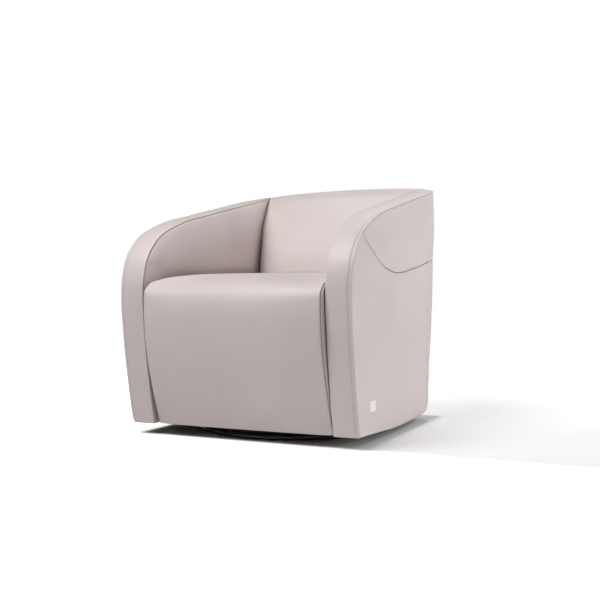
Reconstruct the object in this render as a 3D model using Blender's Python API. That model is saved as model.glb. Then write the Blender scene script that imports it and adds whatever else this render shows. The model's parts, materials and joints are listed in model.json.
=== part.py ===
"""Swivel club chair with wrap-round arms, a waterfall seat and a round floor disc.

The chair faces -Y. The swivel's axis is the Z axis, and the floor is the plane z = 0.
Every length is in metres.
"""

import math

import bmesh
import bpy
from mathutils import Matrix, Vector

# Clearance that two neighbouring pieces keep
GAP = 0.0003

# Upholstered body, measured over its skins
BODY_WIDTH = 0.684
BODY_DEPTH = 0.822
BODY_HEIGHT = 0.711
CORNER_RADIUS = 0.144
ARM_WIDTH = 0.071
ARM_TAPER_END = 0.006
INNER_SKIN = 0.014
OUTER_SKIN = 0.008

# Band that runs up the arm's front and along its top
BAND_TONGUE = 0.007
BAND_LIP = 0.003
BAND_CROWN = 0.0015

# Sag of the leather's lower edge on the sides
HEM_DROP = 0.0115

# Seam between the outer side and the outer back
BACK_SEAM_DISTANCE = 0.196
BACK_SEAM_LEAD = 0.004

# Outlines, in shares of half the body's depth and of its height
ARM_EDGE_SHARES = (
    (-0.864, 0.0),
    (-0.910, 0.120),
    (-0.956, 0.264),
    (-0.985, 0.388),
    (-1.000, 0.495),
    (-0.988, 0.580),
    (-0.951, 0.643),
    (-0.842, 0.716),
    (-0.569, 0.796),
    (-0.136, 0.857),
    (0.353, 0.915),
    (0.599, 0.944),
    (0.780, 0.962),
    (0.922, 0.975),
)
SEAT_FRONT_SHARES = (
    (-0.844, 0.0),
    (-0.939, 0.135),
    (-1.000, 0.240),
    (-1.044, 0.352),
    (-1.060, 0.470),
    (-1.052, 0.522),
    (-1.005, 0.552),
    (-0.881, 0.569),
    (-0.608, 0.584),
    (-0.122, 0.591),
)
# Shares of the height, then of half the depth
BACK_LEAN_SHARES = (
    (0.0, 0.844),
    (0.170, 0.876),
    (0.356, 0.925),
    (0.515, 0.957),
    (0.674, 0.981),
    (0.807, 1.000),
    (0.900, 0.993),
    (1.0, 0.980),
)
CREVICE_SHARES = (
    (0.595, 0.690),
    (0.680, 0.725),
    (0.831, 0.815),
    (0.937, 0.880),
    (1.0, 0.935),
)
# Shares of the way round the wall from the middle of the back, then of the height
YOKE_SEAM_SHARES = (
    (0.0, 0.676),
    (0.200, 0.672),
    (0.380, 0.651),
    (0.551, 0.612),
    (0.711, 0.595),
    (0.792, 0.619),
    (0.883, 0.686),
    (0.945, 0.735),
)

# Shares of the way round the wall, then of the sag
HEM_SHARES = (
    (0.0, 0.0),
    (0.220, 0.0),
    (0.385, 0.30),
    (0.509, 0.78),
    (0.583, 0.96),
    (0.638, 1.0),
    (0.694, 0.95),
    (0.814, 0.49),
    (0.881, 0.21),
    (0.954, 0.0),
)
# Band's section: shares of its width, then of the lip's height
BAND_SECTION_SHARES = (
    (0.0, 0.0),
    (0.0, 0.65),
    (0.04, 0.92),
    (0.14, 1.0),
    (0.5, 1.0),
    (0.86, 1.0),
    (0.96, 0.92),
    (1.0, 0.65),
    (1.0, 0.0),
)
# Shares of the band's width where its underside ends once the tongue has run out
BAND_END_SHARES = (0.3, 0.7)
# Shares of the back cushion's height and of half its width where it is drawn
CUSHION_ROW_SHARES = (0.0, 0.03, 0.09, 0.16, 0.25, 0.35, 0.46, 0.59, 0.72, 0.85, 1.0)
CUSHION_ACROSS_SHARES = (0.0, 0.25, 0.5, 0.7, 0.84, 0.93, 0.98, 1.0)

# Waterfall seat
SEAT_SIDE_GAP = 0.006
SEAT_DROP_THICKNESS = 0.045
SEAT_CROWN = 0.006
SEAT_SIDE_RADIUS = 0.014
SEAT_REAR_DISTANCE = 0.111
DECK_SHARE = 0.426

# Back cushion
CUSHION_BULGE = 0.042
CUSHION_TOP_BULGE = 0.022
CUSHION_ROLL = 0.040
CUSHION_TOP_SEAM_DROP = 0.020
CUSHION_SIDE_SEAM_DROP = 0.007
CUSHION_HEIGHT_FALL = 0.012
CUSHION_REAR_DISTANCE = 0.076
CUSHION_REAR_RISE = 0.043
CUSHION_HEM_RADIUS = 0.008
CUSHION_PEAK_SHARE = 0.55

# Wooden frame
RAIL_HEIGHT = 0.060
RAIL_THICKNESS = 0.025
PLY_THICKNESS = 0.022
ARM_RAIL_DEPTH = 0.045
ARM_POST_WIDTH = 0.062
ARM_FRAME_END_GAP = 0.025
BACK_POST_DEPTH = 0.045
BACK_POST_SHARE = 0.541
BACK_RAIL_DEPTH = 0.050
TOP_RAIL_END_GAP = 0.036
TOP_RAIL_DROP = 0.033
YOKE_RAIL_SHARE = 0.641
CORNER_BLOCK_LEG = 0.050
CORNER_BLOCK_HEIGHT = 0.040
SWIVEL_BOARD_SHARE = 0.468

# Springs, clips and webbing
SPRING_WIRE_RADIUS = 0.0019
SPRING_COUNT = 5
SPRING_PITCH_SHARE = 0.369
SPRING_AMPLITUDE = 0.022
SPRING_WAVES = 8
SPRING_BAR_SHARE = 0.7
CLIP_THICKNESS = 0.0012
CLIP_WIDTH = 0.012
CLIP_REACH = 0.010
WEBBING_THICKNESS = 0.0015
WEBBING_END_GAP = 0.008

# Floor disc and its pad
PAD_RADIUS = 0.285
PAD_THICKNESS = 0.002
DISC_RADIUS = 0.300
DISC_THICKNESS = 0.0157
DISC_EDGE_RADIUS = 0.008

# Ball race of the swivel
PLATE_RADIUS = 0.130
PLATE_THICKNESS = 0.004
RACE_RADIUS = 0.105
RACE_DEPTH = 0.001
BALL_RADIUS = 0.0045
BALL_COUNT = 12
CAGE_WIDTH = 0.018
CAGE_THICKNESS = 0.003

# Centre bolt and screws
PIN_RADIUS = 0.006
PIN_HEAD_RADIUS = 0.013
PIN_HEAD_HEIGHT = 0.005
PIN_STAND = 0.003
NUT_RADIUS = 0.011
NUT_HEIGHT = 0.009
SCREW_RADIUS = 0.002
SCREW_HEAD_RADIUS = 0.004
SCREW_HEAD_HEIGHT = 0.0022
SCREW_LENGTH = 0.012
SCREW_COUNT = 4
LOWER_SCREW_CIRCLE = 0.060
UPPER_SCREW_CIRCLE = 0.078

# Cloth under the frame, and the blank tag on the side
COVER_THICKNESS = 0.001
COVER_INSET = 0.012
COVER_FRONT_DISTANCE = 0.116
COVER_HOLE_RADIUS = 0.140
TAG_FRONT_DISTANCE = 0.125
TAG_LENGTH = 0.045
TAG_HEIGHT = 0.055
TAG_WIDTH = 0.032
TAG_THICKNESS = 0.001

# How finely round pieces are drawn
TURN_STEPS = 32
DISC_STEPS = 60
CORNER_STEPS = 8
CURVE_STEPS = 3
SCREW_SIDES = 8

# Colours as linear red, green, blue, then roughness and metallic value
LEATHER = ((0.53, 0.47, 0.45), 0.45, 0.0)
BLACK_LACQUER = ((0.012, 0.012, 0.013), 0.15, 0.0)
FELT = ((0.05, 0.05, 0.05), 0.95, 0.0)
STEEL = ((0.55, 0.55, 0.56), 0.35, 1.0)
BEECH = ((0.62, 0.43, 0.26), 0.60, 0.0)
PLYWOOD = ((0.66, 0.50, 0.33), 0.65, 0.0)
WEBBING = ((0.09, 0.07, 0.06), 0.85, 0.0)
CLOTH = ((0.03, 0.03, 0.03), 0.95, 0.0)
LABEL = ((0.86, 0.86, 0.84), 0.80, 0.0)

# Levels and places that follow from the sizes
HALF_WIDTH = BODY_WIDTH / 2
HALF_DEPTH = BODY_DEPTH / 2
ARM_INNER_X = HALF_WIDTH - ARM_WIDTH
BACK_SEAM_Y = HALF_DEPTH - BACK_SEAM_DISTANCE
SEAT_REAR_Y = HALF_DEPTH - SEAT_REAR_DISTANCE
CUSHION_REAR_Y = HALF_DEPTH - CUSHION_REAR_DISTANCE
ARM_FRAME_END_Y = BACK_SEAM_Y - ARM_FRAME_END_GAP
BACK_POST_X = HALF_WIDTH * BACK_POST_SHARE
WALL_FLAT = HALF_WIDTH - CORNER_RADIUS
WALL_ARC = CORNER_RADIUS * math.pi / 2
WALL_RUN = WALL_FLAT + WALL_ARC + HALF_DEPTH - CORNER_RADIUS + HALF_DEPTH
DISC_BOTTOM = PAD_THICKNESS + GAP
DISC_TOP = DISC_BOTTOM + DISC_THICKNESS
LOWER_PLATE_BOTTOM = DISC_TOP + GAP
LOWER_PLATE_TOP = LOWER_PLATE_BOTTOM + PLATE_THICKNESS
BALL_LEVEL = LOWER_PLATE_TOP - RACE_DEPTH + GAP + BALL_RADIUS
UPPER_PLATE_BOTTOM = BALL_LEVEL + BALL_RADIUS + GAP - RACE_DEPTH
UPPER_PLATE_TOP = UPPER_PLATE_BOTTOM + PLATE_THICKNESS
BODY_BOTTOM = UPPER_PLATE_TOP + GAP
BODY_TOP = BODY_BOTTOM + BODY_HEIGHT
DECK_Z = BODY_BOTTOM + BODY_HEIGHT * DECK_SHARE
SEAT_TOP = BODY_BOTTOM + BODY_HEIGHT * SEAT_FRONT_SHARES[-1][1] + SEAT_CROWN
SEAT_HALF = ARM_INNER_X - SEAT_SIDE_GAP
CUSHION_BOTTOM = SEAT_TOP + GAP
RECESS_DEPTH = PIN_HEAD_HEIGHT + 2 * GAP
BOARD_TOP = BODY_BOTTOM + PLY_THICKNESS
TOP_RAIL_TOP = BODY_TOP - TOP_RAIL_DROP
TOP_RAIL_BOTTOM = TOP_RAIL_TOP - PLY_THICKNESS
YOKE_RAIL_BOTTOM = BODY_BOTTOM + BODY_HEIGHT * YOKE_RAIL_SHARE
YOKE_RAIL_TOP = YOKE_RAIL_BOTTOM + PLY_THICKNESS
RAIL_HALF = ARM_INNER_X - GAP
TOP_RAIL_HALF_LENGTH = RAIL_HALF - TOP_RAIL_END_GAP
RAIL_TOP = DECK_Z - GAP - CLIP_THICKNESS - GAP - 2 * SPRING_WIRE_RADIUS - GAP
ARM_FRAME_IN = ARM_INNER_X + INNER_SKIN + GAP
ARM_FRAME_OUT = HALF_WIDTH - OUTER_SKIN - GAP


def clear_scene():
    """Remove every object of the scene that the script starts in."""
    for item in list(bpy.data.objects):
        bpy.data.objects.remove(item)


def smooth_curve(points, steps):
    """Smooth curve through plane points, with the given steps between two of them."""
    knots = [Vector(point) for point in points]
    tangents = []
    for index, knot in enumerate(knots):
        before = knot - knots[max(index - 1, 0)]
        after = knots[min(index + 1, len(knots) - 1)] - knot
        if before.length == 0:
            direction = after
        elif after.length == 0:
            direction = before
        else:
            direction = before.normalized() * after.length + after.normalized() * before.length
        tangents.append(direction.normalized())
    curve = []
    for index in range(len(knots) - 1):
        first, last = knots[index], knots[index + 1]
        length = (last - first).length
        for step in range(steps):
            t = step / steps
            curve.append(
                first * (2 * t ** 3 - 3 * t ** 2 + 1)
                + tangents[index] * length * (t ** 3 - 2 * t ** 2 + t)
                + last * (3 * t ** 2 - 2 * t ** 3)
                + tangents[index + 1] * length * (t ** 3 - t ** 2)
            )
    curve.append(knots[-1])
    return curve


def curve_normals(points):
    """Unit vectors to the right of a curve's direction, one for each of its points."""
    normals = []
    for index in range(len(points)):
        before = points[max(index - 1, 0)]
        after = points[min(index + 1, len(points) - 1)]
        direction = (after - before).normalized()
        normals.append(Vector((direction.y, -direction.x)))
    return normals


def offset_curve(points, distance):
    """Curve moved to the right of its own direction by a distance."""
    return [point + normal * distance for point, normal in zip(points, curve_normals(points))]


def value_at(curve, position):
    """Second coordinate of a curve where its first coordinate has the given value."""
    for first, last in zip(curve, curve[1:]):
        if position <= last.x:
            share = (position - first.x) / (last.x - first.x)
            return first.y + (last.y - first.y) * share
    return curve[-1].y


def cut_curve(curve, low, high):
    """Part of a curve whose first coordinate lies between two values, cut at both."""
    inside = [point for point in curve if low < point.x < high]
    return [Vector((low, value_at(curve, low)))] + inside + [Vector((high, value_at(curve, high)))]


def swapped(points):
    """The same points with their two coordinates exchanged."""
    return [Vector((point.y, point.x)) for point in points]


def side_outline(shares, steps=CURVE_STEPS):
    """Side-view curve, y then z, from shares of the half depth and of the height."""
    places = [(HALF_DEPTH * y_share, BODY_BOTTOM + BODY_HEIGHT * z_share) for y_share, z_share in shares]
    return smooth_curve(places, steps)


def height_curve(shares):
    """Curve of y over z from shares of the height and of the half depth."""
    places = [(BODY_BOTTOM + BODY_HEIGHT * z_share, HALF_DEPTH * y_share) for z_share, y_share in shares]
    return smooth_curve(places, CURVE_STEPS)


ARM_EDGE = side_outline(ARM_EDGE_SHARES)
SEAT_FRONT = side_outline(SEAT_FRONT_SHARES, 2)
BACK_LEAN = height_curve(BACK_LEAN_SHARES)
CREVICE = height_curve(CREVICE_SHARES)
YOKE_SEAM = smooth_curve(
    [(WALL_RUN * run, BODY_BOTTOM + BODY_HEIGHT * height) for run, height in YOKE_SEAM_SHARES],
    CURVE_STEPS,
)
HEM = smooth_curve(
    [(WALL_RUN * run, BODY_BOTTOM - HEM_DROP * drop) for run, drop in HEM_SHARES],
    CURVE_STEPS,
)
BAND_UNDERSIDE = offset_curve(ARM_EDGE, GAP)


def back_y(z):
    """Y of the outer back in the middle, at a height."""
    return value_at(BACK_LEAN, z)


def wall_y(x, z, inset=0.0):
    """Y of the back wall at a place across the chair and a height, inset from its outside."""
    radius = CORNER_RADIUS - inset
    beyond = min(max(abs(x) - WALL_FLAT, 0), radius)
    return back_y(z) - CORNER_RADIUS + math.sqrt(radius ** 2 - beyond ** 2)


def wall_x(y, z):
    """Half width of the outer wall at a place along the chair and a height."""
    beyond = min(max(y - back_y(z) + CORNER_RADIUS, 0), CORNER_RADIUS)
    return WALL_FLAT + math.sqrt(CORNER_RADIUS ** 2 - beyond ** 2)


def back_seam_y(z):
    """Y of the seam between the outer side and the outer back, at a height."""
    return min(BACK_SEAM_Y, back_y(z) - CORNER_RADIUS - BACK_SEAM_LEAD)


def side_run(y):
    """Way round the wall from the middle of the back to a place on the side."""
    return WALL_FLAT + WALL_ARC + HALF_DEPTH - CORNER_RADIUS - y


def yoke_z(run):
    """Height of the yoke's lower seam at a way round the wall."""
    return value_at(YOKE_SEAM, abs(run))


def hem_z(run):
    """Height of the leather's lower edge at a way round the wall."""
    return value_at(HEM, abs(run))


def cushion_rear_y(z):
    """Y of the back cushion's raked rear face, at a height."""
    share = (z - CUSHION_BOTTOM) / (BODY_TOP - CUSHION_BOTTOM)
    return CUSHION_REAR_Y + CUSHION_REAR_RISE * share


def make_material(name, look):
    """Principled material of one piece."""
    colour, roughness, metallic = look
    material = bpy.data.materials.new(name)
    material.use_nodes = True
    shader = material.node_tree.nodes["Principled BSDF"]
    shader.inputs["Base Color"].default_value = (*colour, 1.0)
    shader.inputs["Roughness"].default_value = roughness
    shader.inputs["Metallic"].default_value = metallic
    return material


def add_object(name, data, look, parent):
    """Put mesh or curve data into the scene as one named piece."""
    piece = bpy.data.objects.new(name, data)
    bpy.context.scene.collection.objects.link(piece)
    data.materials.append(make_material(name + "_finish", look))
    piece.parent = parent
    return piece


def add_mesh(name, bm, look, parent, smooth_angle=math.radians(40)):
    """Turn a bmesh into a named piece whose faces point out."""
    bmesh.ops.recalc_face_normals(bm, faces=bm.faces)
    mesh = bpy.data.meshes.new(name)
    bm.to_mesh(mesh)
    bm.free()
    mesh.shade_smooth()
    mesh.set_sharp_from_angle(angle=smooth_angle)
    return add_object(name, mesh, look, parent)


def add_prism(bm, outline, axis, low, high):
    """Extrude a plane outline along an axis, between two places on it."""
    places = {
        "X": lambda point, level: (level, point[0], point[1]),
        "Y": lambda point, level: (point[0], level, point[1]),
        "Z": lambda point, level: (point[0], point[1], level),
    }[axis]
    face = bm.faces.new([bm.verts.new(places(point, low)) for point in outline])
    grown = bmesh.ops.extrude_face_region(bm, geom=[face])
    moved = [item for item in grown["geom"] if isinstance(item, bmesh.types.BMVert)]
    shift = Vector(places((0, 0), high)) - Vector(places((0, 0), low))
    bmesh.ops.translate(bm, verts=moved, vec=shift)
    bm.faces.ensure_lookup_table()


def prism(name, outline, axis, low, high, look, parent):
    """One extruded piece."""
    bm = bmesh.new()
    add_prism(bm, outline, axis, low, high)
    return add_mesh(name, bm, look, parent)


def box_outline(low_a, high_a, low_b, high_b):
    """Corners of a rectangle."""
    return [(low_a, low_b), (high_a, low_b), (high_a, high_b), (low_a, high_b)]


def loft(name, sections, look, parent):
    """Skin over closed sections with equal counts of points, capped at both ends."""
    bm = bmesh.new()
    rings = [[bm.verts.new(point) for point in section] for section in sections]
    for ring, following in zip(rings, rings[1:]):
        count = len(ring)
        for index in range(count):
            after = (index + 1) % count
            bm.faces.new((ring[index], ring[after], following[after], following[index]))
    bm.faces.new(rings[0])
    bm.faces.new(rings[-1])
    return add_mesh(name, bm, look, parent)


def lathe(name, profile, steps, look, parent):
    """Turn a closed profile, radius then height, about the Z axis."""
    bm = bmesh.new()
    points = [bm.verts.new((radius, 0, height)) for radius, height in profile]
    edges = [bm.edges.new((points[i], points[(i + 1) % len(points)])) for i in range(len(points))]
    bmesh.ops.spin(
        bm,
        geom=points + edges,
        axis=(0, 0, 1),
        cent=(0, 0, 0),
        angle=2 * math.pi,
        steps=steps,
        use_merge=True,
    )
    bmesh.ops.remove_doubles(bm, verts=bm.verts, dist=GAP / 10)
    return add_mesh(name, bm, look, parent)


def circle_places(count, radius, turn=0.0):
    """Evenly spaced places on a circle round the swivel's axis."""
    angles = [2 * math.pi * index / count + turn for index in range(count)]
    return [(radius * math.cos(angle), radius * math.sin(angle)) for angle in angles]


def combine(piece, bm, operation):
    """Give a piece an exact Boolean with a guide mesh, which isn't a piece itself."""
    guide = add_mesh(piece.name + "_guide", bm, STEEL, piece.parent)
    guide.hide_render = True
    guide.display_type = "WIRE"
    change = piece.modifiers.new(operation.lower(), "BOOLEAN")
    change.operation = operation
    change.solver = "EXACT"
    change.object = guide


def drill(piece, places, radius, low, high, sides):
    """Cut upright round holes through a piece."""
    bm = bmesh.new()
    for x, y in places:
        ring = [(x + px, y + py) for px, py in circle_places(sides, radius)]
        add_prism(bm, ring, "Z", low, high)
    combine(piece, bm, "DIFFERENCE")


def fuse(piece, bm):
    """Join what a mesh holds to the piece that carries it."""
    combine(piece, bm, "UNION")


def wall_patch(name, low_curve, high_curve, parent, rows):
    """Skin on the outer back, wrapped round both corners between two heights per column."""
    half = [WALL_FLAT * step / 2 for step in range(2)]
    half += [WALL_FLAT + WALL_ARC * step / CORNER_STEPS for step in range(CORNER_STEPS + 1)]
    half.append(None)
    columns = [(run, 1) for run in half]
    columns = [(run, -1) for run in reversed(half[1:])] + columns
    bm = bmesh.new()
    grid = []
    for run, side in columns:
        column = []
        for row in range(rows + 1):
            share = row / rows
            reach = side_run(BACK_SEAM_Y) if run is None else run
            low, high = low_curve(reach), high_curve(reach)
            z = low + (high - low) * share
            if run is None:
                x, y = HALF_WIDTH, back_seam_y(z) + GAP / 2
            elif run <= WALL_FLAT:
                x, y = run, back_y(z)
            else:
                angle = (run - WALL_FLAT) / CORNER_RADIUS
                x = WALL_FLAT + CORNER_RADIUS * math.sin(angle)
                y = back_y(z) - CORNER_RADIUS + CORNER_RADIUS * math.cos(angle)
            column.append(bm.verts.new((side * x, y, z)))
        grid.append(column)
    for column, following in zip(grid, grid[1:]):
        for row in range(rows):
            bm.faces.new((column[row], column[row + 1], following[row + 1], following[row]))
    skin = add_mesh(name, bm, LEATHER, parent)
    thicken = skin.modifiers.new("thickness", "SOLIDIFY")
    thicken.thickness = OUTER_SKIN
    thicken.offset = -1
    thicken.use_even_offset = True
    return skin


def mirrored(side, low, high):
    """Range across the chair, on the right for side 1 and on the left for side -1."""
    return (low, high) if side > 0 else (-high, -low)


def cushion_top_z(x):
    """Height of the back's top, which falls from the middle to the arms."""
    return BODY_TOP - CUSHION_HEIGHT_FALL * (x / ARM_INNER_X) ** 2


def cushion_seam_z(x):
    """Height of the seam that joins the back cushion to the outer back."""
    share = abs(x) / ARM_INNER_X
    drop = CUSHION_TOP_SEAM_DROP + (CUSHION_SIDE_SEAM_DROP - CUSHION_TOP_SEAM_DROP) * share
    return cushion_top_z(x) - drop


def shell_top_z(run):
    """Height where the outer back ends, under the cushion's roll or under the arm's band."""
    angle = min(max(run - WALL_FLAT, 0) / CORNER_RADIUS, math.pi / 2)
    x = min(run, WALL_FLAT) + CORNER_RADIUS * math.sin(angle)
    if x <= ARM_INNER_X:
        return cushion_seam_z(x) - GAP
    y = back_y(BODY_TOP) - CORNER_RADIUS + CORNER_RADIUS * math.cos(angle)
    if run > WALL_FLAT + WALL_ARC:
        y = back_seam_y(BODY_TOP)
    return min(value_at(BAND_UNDERSIDE, y), cushion_seam_z(ARM_INNER_X) - GAP)


def turned(name, profile, place, sides, look, parent):
    """Solid turned about an upright line, from radius and height pairs, top to bottom."""
    bm = bmesh.new()
    rings = []
    for radius, height in profile:
        ring = [(place[0] + px, place[1] + py, height) for px, py in circle_places(sides, radius)]
        rings.append([bm.verts.new(point) for point in ring])
    for ring, following in zip(rings, rings[1:]):
        for index in range(sides):
            after = (index + 1) % sides
            bm.faces.new((ring[index], ring[after], following[after], following[index]))
    bm.faces.new(rings[0])
    bm.faces.new(rings[-1])
    return add_mesh(name, bm, look, parent)


def make_floor_disc(parent):
    """Felt pad and lacquered disc that the chair stands on."""
    turned("floor_pad", [(PAD_RADIUS, PAD_THICKNESS), (PAD_RADIUS, 0)], (0, 0), DISC_STEPS, FELT, parent)
    bore = PIN_RADIUS + GAP
    recess = PIN_HEAD_RADIUS + GAP
    recess_top = DISC_BOTTOM + RECESS_DEPTH
    profile = [(bore, DISC_TOP), (bore, recess_top), (recess, recess_top), (recess, DISC_BOTTOM)]
    profile.append((DISC_RADIUS - DISC_EDGE_RADIUS / 2, DISC_BOTTOM))
    profile.append((DISC_RADIUS, DISC_BOTTOM + DISC_EDGE_RADIUS / 2))
    for step in range(5):
        angle = math.pi / 2 * step / 4
        radius = DISC_RADIUS - DISC_EDGE_RADIUS + DISC_EDGE_RADIUS * math.cos(angle)
        profile.append((radius, DISC_TOP - DISC_EDGE_RADIUS + DISC_EDGE_RADIUS * math.sin(angle)))
    disc = lathe("floor_disc", profile, DISC_STEPS, BLACK_LACQUER, parent)
    places = circle_places(SCREW_COUNT, LOWER_SCREW_CIRCLE)
    low = LOWER_PLATE_TOP + GAP - SCREW_LENGTH - GAP
    drill(disc, places, SCREW_RADIUS + GAP, low, BALL_LEVEL, SCREW_SIDES)


def race_profile(flat, middle, side):
    """Closed profile of a race plate between two levels, grooved for the balls in the second."""
    reach = BALL_RADIUS + GAP
    spread = math.acos((reach - RACE_DEPTH) / reach)
    profile = [(PIN_RADIUS + GAP, flat), (PIN_RADIUS + GAP, middle)]
    for step in range(-2, 3):
        angle = spread * step / 2
        radius = RACE_RADIUS + reach * math.sin(angle)
        profile.append((radius, BALL_LEVEL + side * reach * math.cos(angle)))
    return profile + [(PLATE_RADIUS, middle), (PLATE_RADIUS, flat)]


def make_swivel(base, ring, seat):
    """Ball race: lower plate and bolt on the disc, caged balls, and upper plate on the seat."""
    lower = race_profile(LOWER_PLATE_BOTTOM, LOWER_PLATE_TOP, -1)
    upper = race_profile(UPPER_PLATE_TOP, UPPER_PLATE_BOTTOM, 1)
    lower_plate = lathe("bearing_bottom_plate", lower, TURN_STEPS, STEEL, base)
    upper_plate = lathe("bearing_top_plate", upper, TURN_STEPS, STEEL, seat)
    lower_places = circle_places(SCREW_COUNT, LOWER_SCREW_CIRCLE)
    upper_places = circle_places(SCREW_COUNT, UPPER_SCREW_CIRCLE)
    drill(lower_plate, lower_places, SCREW_RADIUS + GAP, DISC_TOP, BALL_LEVEL, SCREW_SIDES)
    drill(upper_plate, upper_places, SCREW_RADIUS + GAP, BALL_LEVEL, BOARD_TOP, SCREW_SIDES)

    seat_level = LOWER_PLATE_TOP + GAP
    for number, place in enumerate(lower_places, 1):
        profile = [
            (SCREW_HEAD_RADIUS, seat_level + SCREW_HEAD_HEIGHT),
            (SCREW_HEAD_RADIUS, seat_level),
            (SCREW_RADIUS, seat_level),
            (SCREW_RADIUS, seat_level - SCREW_LENGTH),
        ]
        turned(f"bottom_plate_screw_{number}", profile, place, SCREW_SIDES, STEEL, base)
    seat_level = UPPER_PLATE_BOTTOM - GAP
    for number, place in enumerate(upper_places, 1):
        profile = [
            (SCREW_RADIUS, seat_level + SCREW_LENGTH),
            (SCREW_RADIUS, seat_level),
            (SCREW_HEAD_RADIUS, seat_level),
            (SCREW_HEAD_RADIUS, seat_level - SCREW_HEAD_HEIGHT),
        ]
        turned(f"top_plate_screw_{number}", profile, place, SCREW_SIDES, STEEL, seat)

    cage_low = BALL_LEVEL - CAGE_THICKNESS / 2
    cage_high = BALL_LEVEL + CAGE_THICKNESS / 2
    outline = box_outline(RACE_RADIUS - CAGE_WIDTH / 2, RACE_RADIUS + CAGE_WIDTH / 2, cage_low, cage_high)
    cage = lathe("ball_cage", outline, TURN_STEPS, STEEL, ring)
    bm = bmesh.new()
    for x, y in circle_places(BALL_COUNT, RACE_RADIUS):
        place = Matrix.Translation((x, y, BALL_LEVEL))
        bmesh.ops.create_icosphere(bm, subdivisions=2, radius=BALL_RADIUS, matrix=place)
    fuse(cage, bm)

    head_low = DISC_BOTTOM + GAP
    nut_low = BOARD_TOP + GAP
    profile = [
        (PIN_RADIUS, nut_low + NUT_HEIGHT + PIN_STAND),
        (PIN_RADIUS, head_low + PIN_HEAD_HEIGHT),
        (PIN_HEAD_RADIUS, head_low + PIN_HEAD_HEIGHT),
        (PIN_HEAD_RADIUS, head_low),
    ]
    turned("pivot_bolt", profile, (0, 0), TURN_STEPS, STEEL, base)
    outline = circle_places(6, NUT_RADIUS)
    nut = prism("pivot_nut", outline, "Z", nut_low, nut_low + NUT_HEIGHT, STEEL, base)
    drill(nut, [(0, 0)], PIN_RADIUS + GAP, BOARD_TOP, nut_low + NUT_HEIGHT + PIN_STAND, TURN_STEPS)


def seat_inner_curve():
    """Rear side of the seat's front drop, z then y, from the bottom to the deck."""
    inner = offset_curve(SEAT_FRONT, SEAT_DROP_THICKNESS)
    rising = [point for point in swapped(inner) if point.x < DECK_Z]
    return cut_curve(rising + [swapped(inner)[len(rising)]], BODY_BOTTOM, DECK_Z)


def make_seat(parent):
    """Waterfall seat: one soft block over the deck that also drops down the front."""
    level = SEAT_FRONT[-1].y
    outer = SEAT_FRONT + [Vector((SEAT_REAR_Y / 2, level)), Vector((SEAT_REAR_Y, level))]
    inner = [Vector((y, z)) for z, y in reversed(seat_inner_curve())]
    straight = SEAT_HALF - SEAT_SIDE_RADIUS
    places = [straight * step / 4 for step in range(5)]
    places += [straight + SEAT_SIDE_RADIUS * math.sin(math.pi / 2 * step / 4) for step in range(1, 5)]
    places = [-place for place in reversed(places[1:])] + places
    sections = []
    for x in places:
        beyond = max(abs(x) - straight, 0) / SEAT_SIDE_RADIUS
        rounding = SEAT_SIDE_RADIUS * (1 - math.sqrt(max(1 - beyond ** 2, 0)))
        crown = SEAT_CROWN * (1 - (x / SEAT_HALF) ** 2)
        moved = offset_curve(outer, rounding - crown)
        ring = [Vector((x, point.x, max(point.y, BODY_BOTTOM))) for point in moved]
        ring.append(Vector((x, SEAT_REAR_Y, DECK_Z)))
        ring += [Vector((x, point.x, point.y)) for point in inner]
        sections.append(ring)
    return loft("seat_cushion", sections, LEATHER, parent)


def cushion_section(x, half):
    """Closed outline of the back cushion at a place across the chair."""
    top = cushion_top_z(x)
    fullness = math.sqrt(1 - (x / half) ** 4)
    front_top = top - CUSHION_ROLL
    points = []
    for share in CUSHION_ROW_SHARES:
        z = CUSHION_BOTTOM + (front_top - CUSHION_BOTTOM) * share
        bulge = CUSHION_BULGE + (CUSHION_TOP_BULGE - CUSHION_BULGE) * share
        tuck = max(1 - (z - CUSHION_BOTTOM) / CUSHION_HEM_RADIUS, 0)
        hem = CUSHION_HEM_RADIUS * (1 - math.sqrt(1 - tuck ** 2))
        points.append((value_at(CREVICE, z) - bulge * fullness + hem * fullness, z))
    front_y = points[-1][0]
    seam_z = cushion_seam_z(x)
    seam_y = wall_y(x, seam_z)
    peak_y = front_y + (seam_y - front_y) * CUSHION_PEAK_SHARE
    for step in range(1, 5):
        angle = math.pi / 2 * step / 4
        y = peak_y - (peak_y - front_y) * math.cos(angle)
        points.append((y, front_top + CUSHION_ROLL * math.sin(angle)))
    for step in range(1, 4):
        angle = math.pi / 2 * step / 3
        y = peak_y + (seam_y - peak_y) * math.sin(angle)
        points.append((y, seam_z + (top - seam_z) * math.cos(angle)))
    shelf = TOP_RAIL_TOP + GAP
    inside = wall_y(x, seam_z, OUTER_SKIN + 4 * GAP)
    points.append((inside, seam_z))
    points.append((inside, shelf))
    for step in range(4):
        z = shelf + (CUSHION_BOTTOM - shelf) * step / 3
        rear = min(cushion_rear_y(z), wall_y(x, z, OUTER_SKIN + 4 * GAP), inside - GAP)
        points.append((rear, z))
    return [Vector((x, y, z)) for y, z in points]


def make_back_cushion(parent):
    """Back cushion between the arms, which rolls over the top to the outer back."""
    half = RAIL_HALF
    places = [half * share for share in CUSHION_ACROSS_SHARES]
    places = [-place for place in reversed(places[1:])] + places
    return loft("back_cushion", [cushion_section(x, half) for x in places], LEATHER, parent)


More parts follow.
